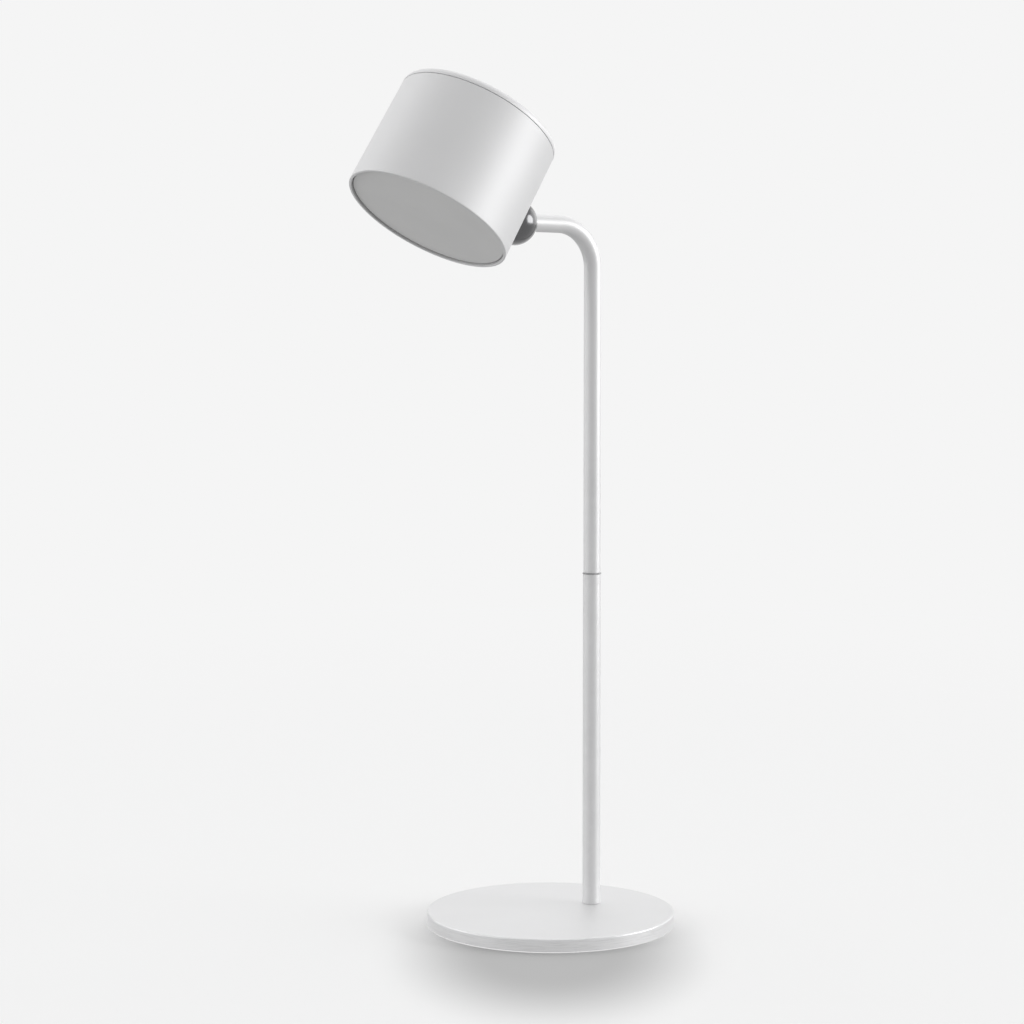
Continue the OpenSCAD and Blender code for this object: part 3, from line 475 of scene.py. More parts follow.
# Circuit boards: slot, colour of the mask, colour of the tracks under it
BOARDS = [
    ("board_laminate", (0.02, 0.13, 0.06), (0.07, 0.24, 0.1)),
    ("led_board_aluminium", (0.8, 0.8, 0.79), (0.72, 0.72, 0.7)),
]
CHIP_YELLOW = (0.86, 0.66, 0.18)
LINER_GREY = (0.12, 0.12, 0.125)


def rgba(colour, gain=1.0):
    """A colour with its alpha, lighter or darker by a gain."""
    return (*(c * gain for c in colour[:3]), 1.0)


def start_material(name, **constants):
    """A material with only a Principled shader: (tree, shader, object coordinates)."""
    made = bpy.data.materials.new(name)
    made["lamp_finish"] = True
    made.use_nodes = True
    tree = made.node_tree
    shader = tree.nodes["Principled BSDF"]
    for key, value in constants.items():
        shader.inputs[key.replace("_", " ")].default_value = value
    return tree, shader, tree.nodes.new("ShaderNodeTexCoord").outputs["Object"]


def connect(tree, shader, colour, roughness, height, microns, strength):
    """Links colour, roughness and a bump of some microns to the shader."""
    tree.links.new(colour, shader.inputs["Base Color"])
    tree.links.new(roughness, shader.inputs["Roughness"])
    values = {"Strength": strength, "Distance": microns * MICRON, "Height": height}
    bump = add_node(tree, "ShaderNodeBump", values)
    tree.links.new(bump.outputs["Normal"], shader.inputs["Normal"])


def worn_skin(tree, place, colour, grain, tone, worn_colour, worn_roughness, wear):
    """Grain, drift and rubbed edges: the outputs of the grain and of the wear."""
    grain = effect(tree, surface_grain, place, **grain)
    tone = effect(tree, tone_shift, place, Color=rgba(colour), **tone)
    edge = add_node(tree, "ShaderNodeAttribute", attribute_name="edge").outputs["Fac"]
    worn = effect(
        tree, edge_wear, place, Color=tone["Color"], Worn_Color=worn_colour, Edge=edge,
        Roughness=grain["Roughness"], Worn_Roughness=worn_roughness, Amount=wear,
    )
    return grain, worn


def head_inside(tree, place, sizes):
    """1 on the inside of the head's wall and cap, where the painted shade goes, 0 outside, from the
    place on the object.
    """
    shifted = vector_math(tree, "SUBTRACT", place, head_place(sizes).translation)
    level = rotated(tree, shifted, HEAD_TILT, "X")
    up = add_node(tree, "ShaderNodeSeparateXYZ", {0: level}).outputs[2]
    draft = sizes.head_taper / 2 / sizes.head_height
    widened = times_plus(tree, up, draft, across_axis(tree, level))
    skin = sizes.rim_diameter / 2 - sizes.wall
    within = ramp(tree, widened, skin + 0.15 * MM, skin + 0.35 * MM, 1.0, 0.0)
    top = sizes.head_height - sizes.wall / 2
    below = ramp(tree, up, top - 0.2 * MM, top + 0.2 * MM, 1.0, 0.0)
    return times(tree, within, below)


def coated_material(name, colour, roughness, grain_scale, peel_scale, microns, inside=None):
    """Powder-coated metal or moulded plastic with its grain, drift and rubbed edges, and with
    painted shade on the head's inside when a colour for it is given.
    """
    scene = bpy.context.scene
    tree, shader, place = start_material(name, IOR=1.5, Metallic=scene.lamp_finishes.flake)
    texture = {"Grain_Scale": grain_scale, "Peel_Scale": peel_scale, "Roughness": roughness}
    rubbed = rgba([min(1, c * 1.08) for c in colour])
    grain, worn = worn_skin(
        tree, place, colour, texture, COAT_TONE, rubbed, roughness * 0.75, COAT_WEAR
    )
    skin = worn["Color"]
    # The head's inside is blended to a darker grey: painted shade for the rim's recess
    if inside is not None:
        skin = blend_colour(tree, head_inside(tree, place, scene.lamp_sizes), skin, rgba(inside))
    connect(tree, shader, skin, worn["Roughness"], grain["Height"], microns, COAT_BUMP)


def base_material(name, colour, bare, roughness, sizes):
    """Coated steel disc: turning lines on its side and a bare, bright foot bevel."""
    tree, shader, place = start_material(name, IOR=1.5)
    texture = {"Grain_Scale": 1500, "Peel_Scale": 300, "Roughness": roughness}
    rubbed = rgba([min(1, c * 1.1) for c in colour])
    grain, worn = worn_skin(tree, place, colour, texture, COAT_TONE, rubbed, roughness * 0.7, 0.6)
    side = ramp(tree, across_axis(tree, place), BASE_R - 0.7 * MM, BASE_R - 0.2 * MM)
    smoother = times_plus(tree, side, SIDE_POLISH, worn["Roughness"])
    lines = effect(tree, side_lines, place, Roughness=smoother, Amount=side)
    up = add_node(tree, "ShaderNodeSeparateXYZ", {0: place}).outputs[2]
    bevel_top = BASE_LOW.z + sizes.base_bevel
    edge = ramp(tree, up, bevel_top + 0.2 * MM, bevel_top + 0.35 * MM, 1.0, 0.0)
    skin = blend_colour(tree, lines["Tone"], worn["Color"], rgba(colour, LINE_DARK))
    skin = blend_colour(tree, edge, skin, rgba(bare))
    rough = blend_value(tree, edge, lines["Roughness"], BARE_ROUGHNESS)
    height = times_plus(tree, lines["Height"], LINE_DEPTH, grain["Height"])
    connect(tree, shader, skin, rough, height, 30, COAT_BUMP)
    flake = bpy.context.scene.lamp_finishes.flake
    turned = times_plus(tree, side, SIDE_FLAKE - flake, flake)
    metal = math_node(tree, "MAXIMUM", times(tree, edge, BARE_METAL), turned)
    tree.links.new(metal, shader.inputs["Metallic"])


def rubber_material(name, colour, grain_scale, microns):
    """Matt rubber with a fine moulded grain and pale rubbed edges."""
    tree, shader, place = start_material(name, IOR=1.5, Specular_IOR_Level=0.35)
    texture = {
        "Grain_Scale": grain_scale, "Peel_Scale": 140.0, "Roughness": 0.72,
        "Roughness_Spread": 0.16,
    }
    tone = {"Drift": 0.25, "Speck": 0.0}
    grain, worn = worn_skin(tree, place, colour, texture, tone, rgba(colour, 2.2), 0.6, 0.6)
    connect(tree, shader, worn["Color"], worn["Roughness"], grain["Height"], microns, 0.7)


def metal_material(name, colour, roughness, spread, ring_scale):
    """Machined metal with fine tool marks and a slight drift of tone."""
    tree, shader, place = start_material(name, Metallic=1.0)
    marks = effect(
        tree, turning_marks, place, Ring_Scale=ring_scale, Roughness=roughness, Spread=spread
    )
    tone = effect(tree, tone_shift, place, Color=rgba(colour), Drift=0.12, Drift_Scale=160.0)
    connect(tree, shader, tone["Color"], marks["Roughness"], marks["Height"], 10, 0.4)


def polished_material(name, colour):
    """Polished dark metal with hairlines and faint touch marks."""
    tree, shader, place = start_material(name, Metallic=1.0, Coat_Weight=1.0, Coat_Roughness=0.07)
    lines = effect(tree, hairlines, place, Roughness=0.24, Scratch=0.06, Smudge=0.05)
    tone = effect(tree, tone_shift, place, Color=rgba(colour), Drift=0.05, Speck=0.0)
    connect(tree, shader, tone["Color"], lines["Roughness"], lines["Height"], 4, 0.25)


def grained_material(tree, shader, place, microns, texture, tone):
    """Links a plain grained surface to the shader."""
    grain = effect(tree, surface_grain, place, **texture)
    tone = effect(tree, tone_shift, place, **tone)
    connect(tree, shader, tone["Color"], grain["Roughness"], grain["Height"], microns, 0.5)


def plastic_material(name, colour, roughness):
    """Plain moulded plastic for the inside of the head."""
    texture = {"Grain_Scale": 2200.0, "Peel_Scale": 300.0, "Roughness": roughness}
    tone = {"Color": rgba(colour), "Drift": 0.08, "Speck": 0.04}
    grained_material(*start_material(name, IOR=PLASTIC_IOR), 40, texture, tone)


def opal_material(name, colour):
    """Unlit opal diffuser: a fine frosted skin over a milky body."""
    texture = {
        "Grain_Scale": 1800.0, "Peel_Scale": 420.0, "Peel_Share": 0.2, "Roughness": 0.55,
        "Roughness_Spread": 0.1,
    }
    tone = {"Color": rgba(colour), "Drift": 0.03, "Drift_Scale": 30.0, "Speck": 0.03}
    started = start_material(name, IOR=PLASTIC_IOR, Specular_IOR_Level=0.4)
    grained_material(*started, 30, texture, tone)


def chip_material(name):
    """Light chip: a fine yellow phosphor."""
    texture = {"Grain_Scale": 6000.0, "Roughness": 0.4}
    tone = {"Color": rgba(CHIP_YELLOW), "Drift": 0.15, "Drift_Scale": 600.0, "Speck_Scale": 4000.0}
    grained_material(*start_material(name, IOR=1.5), 10, texture, tone)


def board_material(name, mask_colour, track_colour):
    """Circuit board: solder mask over faint copper tracks and a glass weave."""
    tree, shader, place = start_material(name, IOR=1.55)
    weave = {"Vector": place, "Scale": 420.0, "Distortion": 0.4}
    height = times(tree, wave(tree, "X", weave), wave(tree, "Y", weave))
    tracks = add_node(
        tree, "ShaderNodeTexBrick",
        {
            "Vector": place, "Scale": 70.0, "Mortar Size": 0.03, "Color1": rgba(mask_colour),
            "Color2": rgba(mask_colour, 0.9), "Mortar": rgba(track_colour),
        },
    )
    tone = effect(tree, tone_shift, place, Color=tracks.outputs["Color"], Drift=0.1)
    rough = ramp(tree, height, 0.0, 1.0, 0.32, 0.42)
    connect(tree, shader, tone["Color"], rough, height, 10, 0.4)


def make_finishes(context):
    """Makes every finish, each named by its slot in the record."""
    look = context.scene.lamp_finishes
    paint, plastic, rough = look.paint[:], look.plastic[:], look.paint_roughness
    base_material("base_paint", paint, look.bare_edge[:], rough, context.scene.lamp_sizes)
    coated_material("tube_paint", paint, rough, 1700, 360, 22)
    # The shade's plastic carries painted shade on its inside
    coated_material(
        "shade_plastic", plastic, look.plastic_roughness, 1250, 420, 35, look.shade_inside[:]
    )
    coated_material("button_plastic", plastic, 0.5, 2200, 420, 20)
    rubber_material("pad_rubber", look.rubber[:], 1500, 60)
    rubber_material("gasket_rubber", look.gasket[:], 2600, 30)
    rubber_material("liner_rubber", LINER_GREY, 2600, 30)
    polished_material("ball_chrome", look.polish[:])
    opal_material("diffuser_opal", look.opal[:])
    chip_material("led_plastic")
    for make, rows in (
        (plastic_material, PLAIN_PLASTICS), (metal_material, METALS), (board_material, BOARDS),
    ):
        for row in rows:
            make(*row)


def finish_of(context, slot):
    """The finish for a slot, with all of them made on first use."""
    made = bpy.data.materials.get(slot)
    if made is None or "lamp_finish" not in made:
        for packed in list(bpy.data.materials):
            packed.name = "packed_" + packed.name
        make_finishes(context)
    return bpy.data.materials[slot]


# ------------------------------------------------------------- mesh building

SPINE_ROOM = 10 * MM
SHARP_ANGLE = math.radians(32)
EDGE_FROM, EDGE_FULL = 6.0, 14.0
TUBE_WELD = 0.000002


def linked(name, data):
    """A new object with the given data, in the scene."""
    made = bpy.data.objects.new(name, data)
    bpy.context.scene.collection.objects.link(made)
    return made


def mesh_object(name, points, edges=(), faces=()):
    """A new object with the given mesh, in the scene."""
    mesh = bpy.data.meshes.new(name)
    mesh.from_pydata([tuple(p) for p in points], list(edges), list(faces))
    return linked(name, mesh)


def keep_result(obj):
    """Makes the result of an object's modifiers its own plain mesh."""
    graph = bpy.context.evaluated_depsgraph_get()
    graph.update()
    result = bpy.data.meshes.new_from_object(
        obj.evaluated_get(graph), preserve_all_data_layers=True, depsgraph=graph
    )
    obj.modifiers.clear()
    old, obj.data = obj.data, result
    bpy.data.meshes.remove(old)
    result.name = obj.name
    if not result.polygons:
        raise RuntimeError(f"{obj.name}: its modifiers left no faces")


def run_tree(obj, make, values):
    """Runs a Geometry Nodes tree on an object and keeps the result as a plain mesh."""
    modifier = obj.modifiers.new("build", "NODES")
    modifier.node_group = group_of(make)
    for item in modifier.node_group.interface.items_tree:
        if item.item_type == "SOCKET" and item.in_out == "INPUT" and item.name in values:
            modifier[item.identifier] = values[item.name]
    keep_result(obj)


def clean_mesh(obj, weld=MICRON):
    """Welds doubles and turns every face outwards."""
    work = bmesh.new()
    work.from_mesh(obj.data)
    bmesh.ops.remove_doubles(work, verts=work.verts, dist=weld)
    bmesh.ops.dissolve_degenerate(work, dist=weld, edges=work.edges)
    bmesh.ops.recalc_face_normals(work, faces=work.faces)
    work.to_mesh(obj.data)
    work.free()


def mark_edges(mesh):
    """Writes the attribute edge: 1 where faces meet at an angle, 0 on flat or smooth skin."""
    work = bmesh.new()
    work.from_mesh(mesh)
    values = []
    for v in work.verts:
        sharpest = max(
            (e.calc_face_angle(0.0) for e in v.link_edges if len(e.link_faces) == 2), default=0.0,
        )
        t = (math.degrees(sharpest) - EDGE_FROM) / (EDGE_FULL - EDGE_FROM)
        t = min(1.0, max(0.0, t))
        values.append(t * t * (3 - 2 * t))
    work.free()
    attribute = mesh.attributes.get("edge") or mesh.attributes.new("edge", "FLOAT", "POINT")
    attribute.data.foreach_set("value", values)


def enlist_piece(context, obj, slot, body, *nodes):
    """Gives a piece its finish and its ride, and hides the CAD nodes that it stands for."""
    obj.data.materials.clear()
    obj.data.materials.append(finish_of(context, slot))
    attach(obj, body)
    if nodes:
        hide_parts(*nodes)


def finish_piece(context, obj, slot, body, *nodes, place=None):
    """Puts a piece in its place, smooths it and enlists it."""
    mesh = obj.data
    if place is not None:
        mesh.transform(place)
    mark_edges(mesh)
    mesh.shade_smooth()
    mesh.set_sharp_from_angle(angle=SHARP_ANGLE)
    enlist_piece(context, obj, slot, body, *nodes)


# Points on a profile are (radius, height), or (radius, height, round)
ROUND_STEPS = 6
SUPPORT = 0.12 * MM


def rounded_profile(corners, closed=False, steps=ROUND_STEPS):
    """Rounds the corners of a profile and adds a support point beside each round."""
    points = []
    count = len(corners)
    for i, corner in enumerate(corners):
        here = Vector(corner[:2])
        r = corner[2] if len(corner) > 2 else 0.0
        if r <= 0 or (not closed and i in (0, count - 1)):
            points.append(here)
            continue
        before = Vector(corners[i - 1][:2]) - here
        after = Vector(corners[(i + 1) % count][:2]) - here
        a, b = before.normalized(), after.normalized()
        half = math.acos(max(-1.0, min(1.0, a.dot(b)))) / 2
        back = r / math.tan(half)
        centre = here + (a + b).normalized() * (r / math.sin(half))
        first, last = here + a * back, here + b * back
        if before.length - back > 3 * SUPPORT:
            points.append(first + a * SUPPORT)
        start, end = first - centre, last - centre
        turn = math.atan2(start.x * end.y - start.y * end.x, start.dot(end))
        for k in range(steps + 1):
            c, s = math.cos(turn * k / steps), math.sin(turn * k / steps)
            points.append(centre + Vector((start.x * c - start.y * s, start.x * s + start.y * c)))
        if after.length - back > 3 * SUPPORT:
            points.append(last + b * SUPPORT)
    return points


def arc_profile(centre, radius, start, end, steps):
    """Points on an arc in the profile plane, angles from the radius axis in degrees."""
    turns = [math.radians(start + (end - start) * k / steps) for k in range(steps + 1)]
    return [
        Vector((centre[0] + radius * math.cos(t), centre[1] + radius * math.sin(t)))
        for t in turns
    ]


# ------------------------------------------------------ Geometry Nodes trees


def new_tree(name, inputs):
    """An empty Geometry Nodes tree that takes a mesh, its sizes and a material."""
    inputs = {"Geometry": None, **inputs, "Material": None}
    return new_group(name, "GeometryNodeTree", inputs, ["Geometry"])


def close_tree(tree, given, end, geometry):
    """Ends a tree in Realize Instances and Set Material."""
    real = add_node(tree, "GeometryNodeRealizeInstances", {"Geometry": geometry}).outputs[0]
    values = {"Geometry": real, "Material": given["Material"]}
    painted = add_node(tree, "GeometryNodeSetMaterial", values)
    tree.links.new(painted.outputs["Geometry"], end["Geometry"])
    return tree


def circle(tree, segments, radius):
    """A round curve."""
    values = {"Resolution": segments, "Radius": radius}
    made = add_node(tree, "GeometryNodeCurvePrimitiveCircle", values, mode="RADIUS")
    return made.outputs["Curve"]


def as_curve(tree, mesh):
    """A curve along a mesh's edges."""
    return add_node(tree, "GeometryNodeMeshToCurve", {"Mesh": mesh}).outputs["Curve"]


def sweep(tree, curve, profile, **more):
    """The mesh that a profile leaves along a curve."""
    values = {"Curve": curve, "Profile Curve": profile, **more}
    return add_node(tree, "GeometryNodeCurveToMesh", values).outputs["Mesh"]


def weld(tree, geometry, distance):
    """A mesh with its doubles merged."""
    values = {"Geometry": geometry, "Distance": distance}
    return add_node(tree, "GeometryNodeMergeByDistance", values).outputs["Geometry"]


def set_out(tree, points, piece, **more):
    """Copies of a piece on points."""
    values = {"Points": points, "Instance": piece, **more}
    return add_node(tree, "GeometryNodeInstanceOnPoints", values).outputs["Instances"]


def joined(tree, *parts):
    """Parts in one geometry."""
    made = tree.nodes.new("GeometryNodeJoinGeometry")
    for part in parts:
        tree.links.new(part, made.inputs[0])
    return made.outputs["Geometry"]


def turned_body(name):
    """Sweeps a profile round a circle and welds it on the axis."""
    tree, given, end = new_tree(name, {"Spine Radius": 0.05, "Segments": 128, "Weld": MICRON})
    spine = circle(tree, given["Segments"], given["Spine Radius"])
    swept = sweep(tree, spine, as_curve(tree, given["Geometry"]))
    return close_tree(tree, given, end, weld(tree, swept, given["Weld"]))


def swept_tube(name):
    """A tube with a bore, a filleted bend and bevelled ends along a path."""
    inputs = {
        "Outer Radius": 0.006, "Bore Radius": 0.0045, "Foot Bevel": 0.0003, "Top Bevel": 0.0003,
        "Bend Radius": 0.028, "Bend Point": 2, "Bend Steps": 32, "Segments": 64,
    }
    tree, given, end = new_tree(name, inputs)
    outer, bore = given["Outer Radius"], given["Bore Radius"]
    index = tree.nodes.new("GeometryNodeInputIndex").outputs[0]
    corner = add_node(
        tree, "FunctionNodeCompare", {2: index, 3: given["Bend Point"]}, data_type="INT",
        operation="EQUAL",
    ).outputs[0]
    bend = {
        "Curve": as_curve(tree, given["Geometry"]),
        "Radius": times(tree, corner, given["Bend Radius"]), "Count": given["Bend Steps"],
        "Limit Radius": True,
    }
    bent = add_node(tree, "GeometryNodeFilletCurve", bend, mode="POLY").outputs["Curve"]
    foot, top = (
        add_node(
            tree, "GeometryNodeCurveEndpointSelection", {"Start Size": start, "End Size": stop}
        ).outputs[0]
        for start, stop in ((1, 0), (0, 1))
    )
    drawn_in = math_node(
        tree, "ADD", times(tree, foot, given["Foot Bevel"]), times(tree, top, given["Top Bevel"])
    )
    scale = minus(tree, 1.0, math_node(tree, "DIVIDE", drawn_in, outer))
    outside = sweep(tree, bent, circle(tree, given["Segments"], outer), Scale=scale)
    inside = sweep(tree, bent, circle(tree, given["Segments"], bore))
    tangent = tree.nodes.new("GeometryNodeInputTangent").outputs[0]
    facing = add_node(
        tree, "FunctionNodeAlignRotationToVector", {"Vector": tangent}, axis="Z"
    ).outputs[0]
    rings = []
    for pick, bevel in ((foot, "Foot Bevel"), (top, "Top Bevel")):
        edge = minus(tree, outer, given[bevel])
        middle = times(tree, math_node(tree, "ADD", edge, bore), 0.5)
        half = times(tree, minus(tree, edge, bore), 0.5)
        line = add_node(
            tree, "GeometryNodeCurvePrimitiveLine",
            {"Start": xyz(tree, times(tree, half, -1.0)), "End": xyz(tree, half)},
        ).outputs["Curve"]
        flat = sweep(tree, circle(tree, given["Segments"], middle), line)
        rings.append(set_out(tree, bent, flat, Selection=pick, Rotation=facing))
    parts = joined(tree, outside, inside, *rings)
    real = add_node(tree, "GeometryNodeRealizeInstances", {"Geometry": parts}).outputs[0]
    return close_tree(tree, given, end, weld(tree, real, TUBE_WELD))


def raised_dots(name):
    """Raised dots in staggered rows on the underside of a pad."""
    inputs = {
        "Pitch": 0.005, "Dot Diameter": 0.0026, "Dot Height": 0.0004, "Field Radius": 0.07,
        "Hole Radius": 0.015, "Hole Y": 0.0345, "Rows": 33, "Sides": 12,
    }
    tree, given, end = new_tree(name, inputs)
    size_x = times(tree, minus(tree, given["Rows"], 1.0), given["Pitch"])
    size_y = times(tree, size_x, math.sqrt(3) / 2)
    grid = {
        "Size X": size_x, "Size Y": size_y, "Vertices X": given["Rows"],
        "Vertices Y": given["Rows"],
    }
    index = tree.nodes.new("GeometryNodeInputIndex").outputs[0]
    odd = math_node(tree, "MODULO", index, 2.0)
    field = {
        "Geometry": add_node(tree, "GeometryNodeMeshGrid", grid).outputs["Mesh"],
        "Offset": xyz(tree, times(tree, odd, times(tree, given["Pitch"], 0.5))),
    }
    staggered = add_node(tree, "GeometryNodeSetPosition", field).outputs["Geometry"]
    place = tree.nodes.new("GeometryNodeInputPosition").outputs[0]
    from_middle = vector_math(tree, "LENGTH", place)
    outside = math_node(tree, "GREATER_THAN", from_middle, given["Field Radius"])
    from_hole = vector_math(tree, "DISTANCE", place, xyz(tree, y=given["Hole Y"]))
    at_hole = math_node(tree, "LESS_THAN", from_hole, given["Hole Radius"])
    drop = {"Geometry": staggered, "Selection": math_node(tree, "MAXIMUM", outside, at_hole)}
    kept = add_node(tree, "GeometryNodeDeleteGeometry", drop, domain="POINT").outputs["Geometry"]
    dot = {
        "Vertices": given["Sides"], "Side Segments": 2,
        "Radius Top": times(tree, given["Dot Diameter"], 0.5),
        "Radius Bottom": times(tree, given["Dot Diameter"], 0.3),
        "Depth": times(tree, given["Dot Height"], 1.2),
    }
    dots = set_out(tree, kept, add_node(tree, "GeometryNodeMeshCone", dot).outputs["Mesh"])
    return close_tree(tree, given, end, joined(tree, dots, given["Geometry"]))


def contact_strips(name):
    """A row of contact strips on both faces of a tongue."""
    inputs = {
        "Count": 12, "Pitch": 0.0005, "Size": (0.00026, 0.00006, 0.004), "Gap": 0.0007,
        "Depth": 0.004,
    }
    tree, given, end = new_tree(name, inputs)
    strip = add_node(tree, "GeometryNodeMeshCube", {"Size": given["Size"]}).outputs["Mesh"]
    spans = minus(tree, given["Count"], 1.0)
    start = times(tree, times(tree, spans, given["Pitch"]), -0.5)
    rows = []
    for side in (-0.5, 0.5):
        row = {
            "Count": given["Count"],
            "Start Location": xyz(tree, start, times(tree, given["Gap"], side), given["Depth"]),
            "Offset": xyz(tree, given["Pitch"]),
        }
        line = add_node(tree, "GeometryNodeMeshLine", row, mode="OFFSET").outputs["Mesh"]
        rows.append(set_out(tree, line, strip))
    return close_tree(tree, given, end, joined(tree, *rows))


def chip_rings(name):
    """Light chips in rings of 1, 6, 12 and 18 round the head's axis."""
    inputs = {"Pitch": 0.012, "Chip Side": 0.003, "Chip Height": 0.0007, "Face Share": 0.38}
    tree, given, end = new_tree(name, inputs)
    side, tall = given["Chip Side"], given["Chip Height"]

    def moved(geometry, part):
        """A geometry moved up by a part of the chip's height, or down by a minus one."""
        values = {"Geometry": geometry, "Translation": xyz(tree, z=times(tree, tall, part))}
        return add_node(tree, "GeometryNodeTransform", values).outputs["Geometry"]

    size = xyz(tree, side, side, times(tree, tall, 0.8))
    body = add_node(tree, "GeometryNodeMeshCube", {"Size": size}).outputs["Mesh"]
    round_face = {
        "Vertices": 20, "Radius": times(tree, side, given["Face Share"]),
        "Depth": times(tree, tall, 0.25),
    }
    face = add_node(tree, "GeometryNodeMeshCylinder", round_face).outputs["Mesh"]
    chip = moved(joined(tree, moved(face, -0.475), body), -0.4)
    rings = []
    for ring in (1, 2, 3):
        count = 6 * ring
        values = {"Vertices": count, "Radius": times(tree, given["Pitch"], float(ring))}
        points = add_node(tree, "GeometryNodeMeshCircle", values).outputs["Mesh"]
        index = tree.nodes.new("GeometryNodeInputIndex").outputs[0]
        turn = xyz(tree, z=times(tree, index, math.tau / count))
        rings.append(set_out(tree, points, chip, Rotation=turn))
    return close_tree(tree, given, end, joined(tree, chip, *rings))


# ------------------------------------------------------------ turned and swept


def turned_mesh(context, name, slot, points, closed=False, segments=None):
    """A turned piece from profile points, standing on its own axis."""
    spine = max(p[0] for p in points) + SPINE_ROOM
    count = len(points)
    edges = [(i, i + 1) for i in range(count - 1)] + ([(count - 1, 0)] if closed else [])
    made = mesh_object(name, [(p[0] - spine, -p[1], 0) for p in points], edges)
    values = {
        "Spine Radius": spine, "Segments": segments or context.scene.lamp_sizes.turn_segments,
        "Material": finish_of(context, slot),
    }
    run_tree(made, turned_body, values)
    clean_mesh(made)
    return made


def turned_piece(context, name, slot, body, node, points, place=None, **shape):
    """A turned piece that stands for a CAD node."""
    made = turned_mesh(context, name, slot, points, **shape)
    finish_piece(context, made, slot, body, node, place=place)


def tube_piece(context, name, node, path, radius, corner=-1):
    """A painted tube of the stand along straight runs, bent at one of its points."""
    sizes = context.scene.lamp_sizes
    bevel = sizes.tube_bevel
    points = [Vector(p) for p in path]
    first = (points[1] - points[0]).normalized()
    last = (points[-2] - points[-1]).normalized()
    points.insert(1, points[0] + first * bevel)
    points.insert(len(points) - 1, points[-1] + last * bevel)
    made = mesh_object(name, points, [(i, i + 1) for i in range(len(points) - 1)])
    values = {
        "Outer Radius": radius, "Bore Radius": sizes.tube_bore / 2, "Foot Bevel": bevel,
        "Top Bevel": bevel, "Bend Radius": sizes.bend_radius, "Bend Point": corner,
        "Material": finish_of(context, "tube_paint"),
    }
    run_tree(made, swept_tube, values)
    clean_mesh(made, TUBE_WELD)
    finish_piece(context, made, "tube_paint", STAND, node)


# ------------------------------------------------------------ head placement

RIM_ROUND = 0.7 * MM


def wall_radius(sizes, height):
    """Outer radius of the head's wall at a height above the rim."""
    draft = sizes.head_taper / 2 / (sizes.head_height - RIM_ROUND)
    return sizes.rim_diameter / 2 - draft * (height - RIM_ROUND)


def head_place(sizes):
    """Matrix from the head's own axes (rim centre, +Z to the cap, +Y to the ball)."""
    reach = wall_radius(sizes, sizes.ball_height) + sizes.ball_out
    return (
        Matrix.Translation(BALL_CENTRE)
        @ Matrix.Rotation(-HEAD_TILT, 4, "X")
        @ Matrix.Translation((0, -reach, -sizes.ball_height))
    )


def seen_from_head(node, place):
    """A CAD node's points in the head's own axes."""
    back = place.inverted()
    return [back @ v.co for v in frame["nodes"][node].data.vertices]


# ----------------------------------------------------------------- operators

PAD_ROOM = 0.2 * MM
PAD_CLEAR = 0.02 * MM
PAD_ROUND = 0.3 * MM
PAD_SEGMENTS = 160
RECESS_ROUND = 0.25 * MM
FOOT_ROUND = 0.12 * MM
DOT_MARGIN = 3.5 * MM
HOLE_MARGIN = 3 * MM
CUTTER_REACH = 5 * MM


class LAMP_OT_base(bpy.types.Operator):
    """Makes the base plate and the anti-slip pad with its raised dots"""

    bl_idname = "lamp.base"
    bl_label = "Base and pad"

    def execute(self, context):
        sizes = context.scene.lamp_sizes
        self.make_disc(context, sizes)
        self.make_pad(context, sizes)
        return {"FINISHED"}

    def make_disc(self, context, sizes):
        """The disc, with the pad's recess, a bevelled foot and a rounded top edge."""
        low, high = BASE_LOW.z, BASE_HIGH.z
        recess = (sizes.pad_diameter / 2 + PAD_ROOM, sizes.pad_thickness)
        bevel = sizes.base_bevel
        inner = [(0, recess[1]), recess, (recess[0], low, RECESS_ROUND), (BASE_R, low)]
        foot = [
            (recess[0], low), (BASE_R - bevel, low, FOOT_ROUND), (BASE_R, low + bevel, FOOT_ROUND),
            (BASE_R, high),
        ]
        outer = [(BASE_R, low), (BASE_R, high, sizes.base_round), (0, high)]
        profile = rounded_profile(inner)[:-1]
        profile += rounded_profile(foot, steps=3)[1:-1]
        profile += rounded_profile(outer)[1:]
        turned_piece(context, "base_disc", "base_paint", STAND, "base_plate", profile)

    def make_pad(self, context, sizes):
        """The pad, with its hole under the pole and its raised dots."""
        pad_r, hole_r = sizes.pad_diameter / 2, sizes.pad_hole / 2
        low, high = sizes.dot_height, sizes.pad_thickness - PAD_CLEAR
        profile = rounded_profile([(0, low), (pad_r, low, PAD_ROUND), (pad_r, high), (0, high)])
        pad = turned_mesh(context, "anti_slip_pad", "pad_rubber", profile, segments=PAD_SEGMENTS)
        low, high = -CUTTER_REACH, CUTTER_REACH
        profile = [Vector(p) for p in ((0, low), (hole_r, low), (hole_r, high), (0, high))]
        cutter = turned_mesh(context, "pad_hole_cutter", "pad_rubber", profile, segments=96)
        cutter.data.transform(Matrix.Translation((0, POLE_Y, 0)))
        cut = pad.modifiers.new("hole", "BOOLEAN")
        cut.object = cutter
        cut.solver = "EXACT"
        keep_result(pad)
        bpy.data.objects.remove(cutter)
        values = {
            "Pitch": sizes.dot_pitch, "Dot Diameter": sizes.dot_diameter,
            "Dot Height": sizes.dot_height, "Field Radius": pad_r - DOT_MARGIN,
            "Hole Radius": hole_r + HOLE_MARGIN, "Hole Y": POLE_Y,
            "Material": finish_of(context, "pad_rubber"),
        }
        run_tree(pad, raised_dots, values)
        finish_piece(context, pad, "pad_rubber", STAND, "base_pad")


GASKET_ROUND = 0.2 * MM


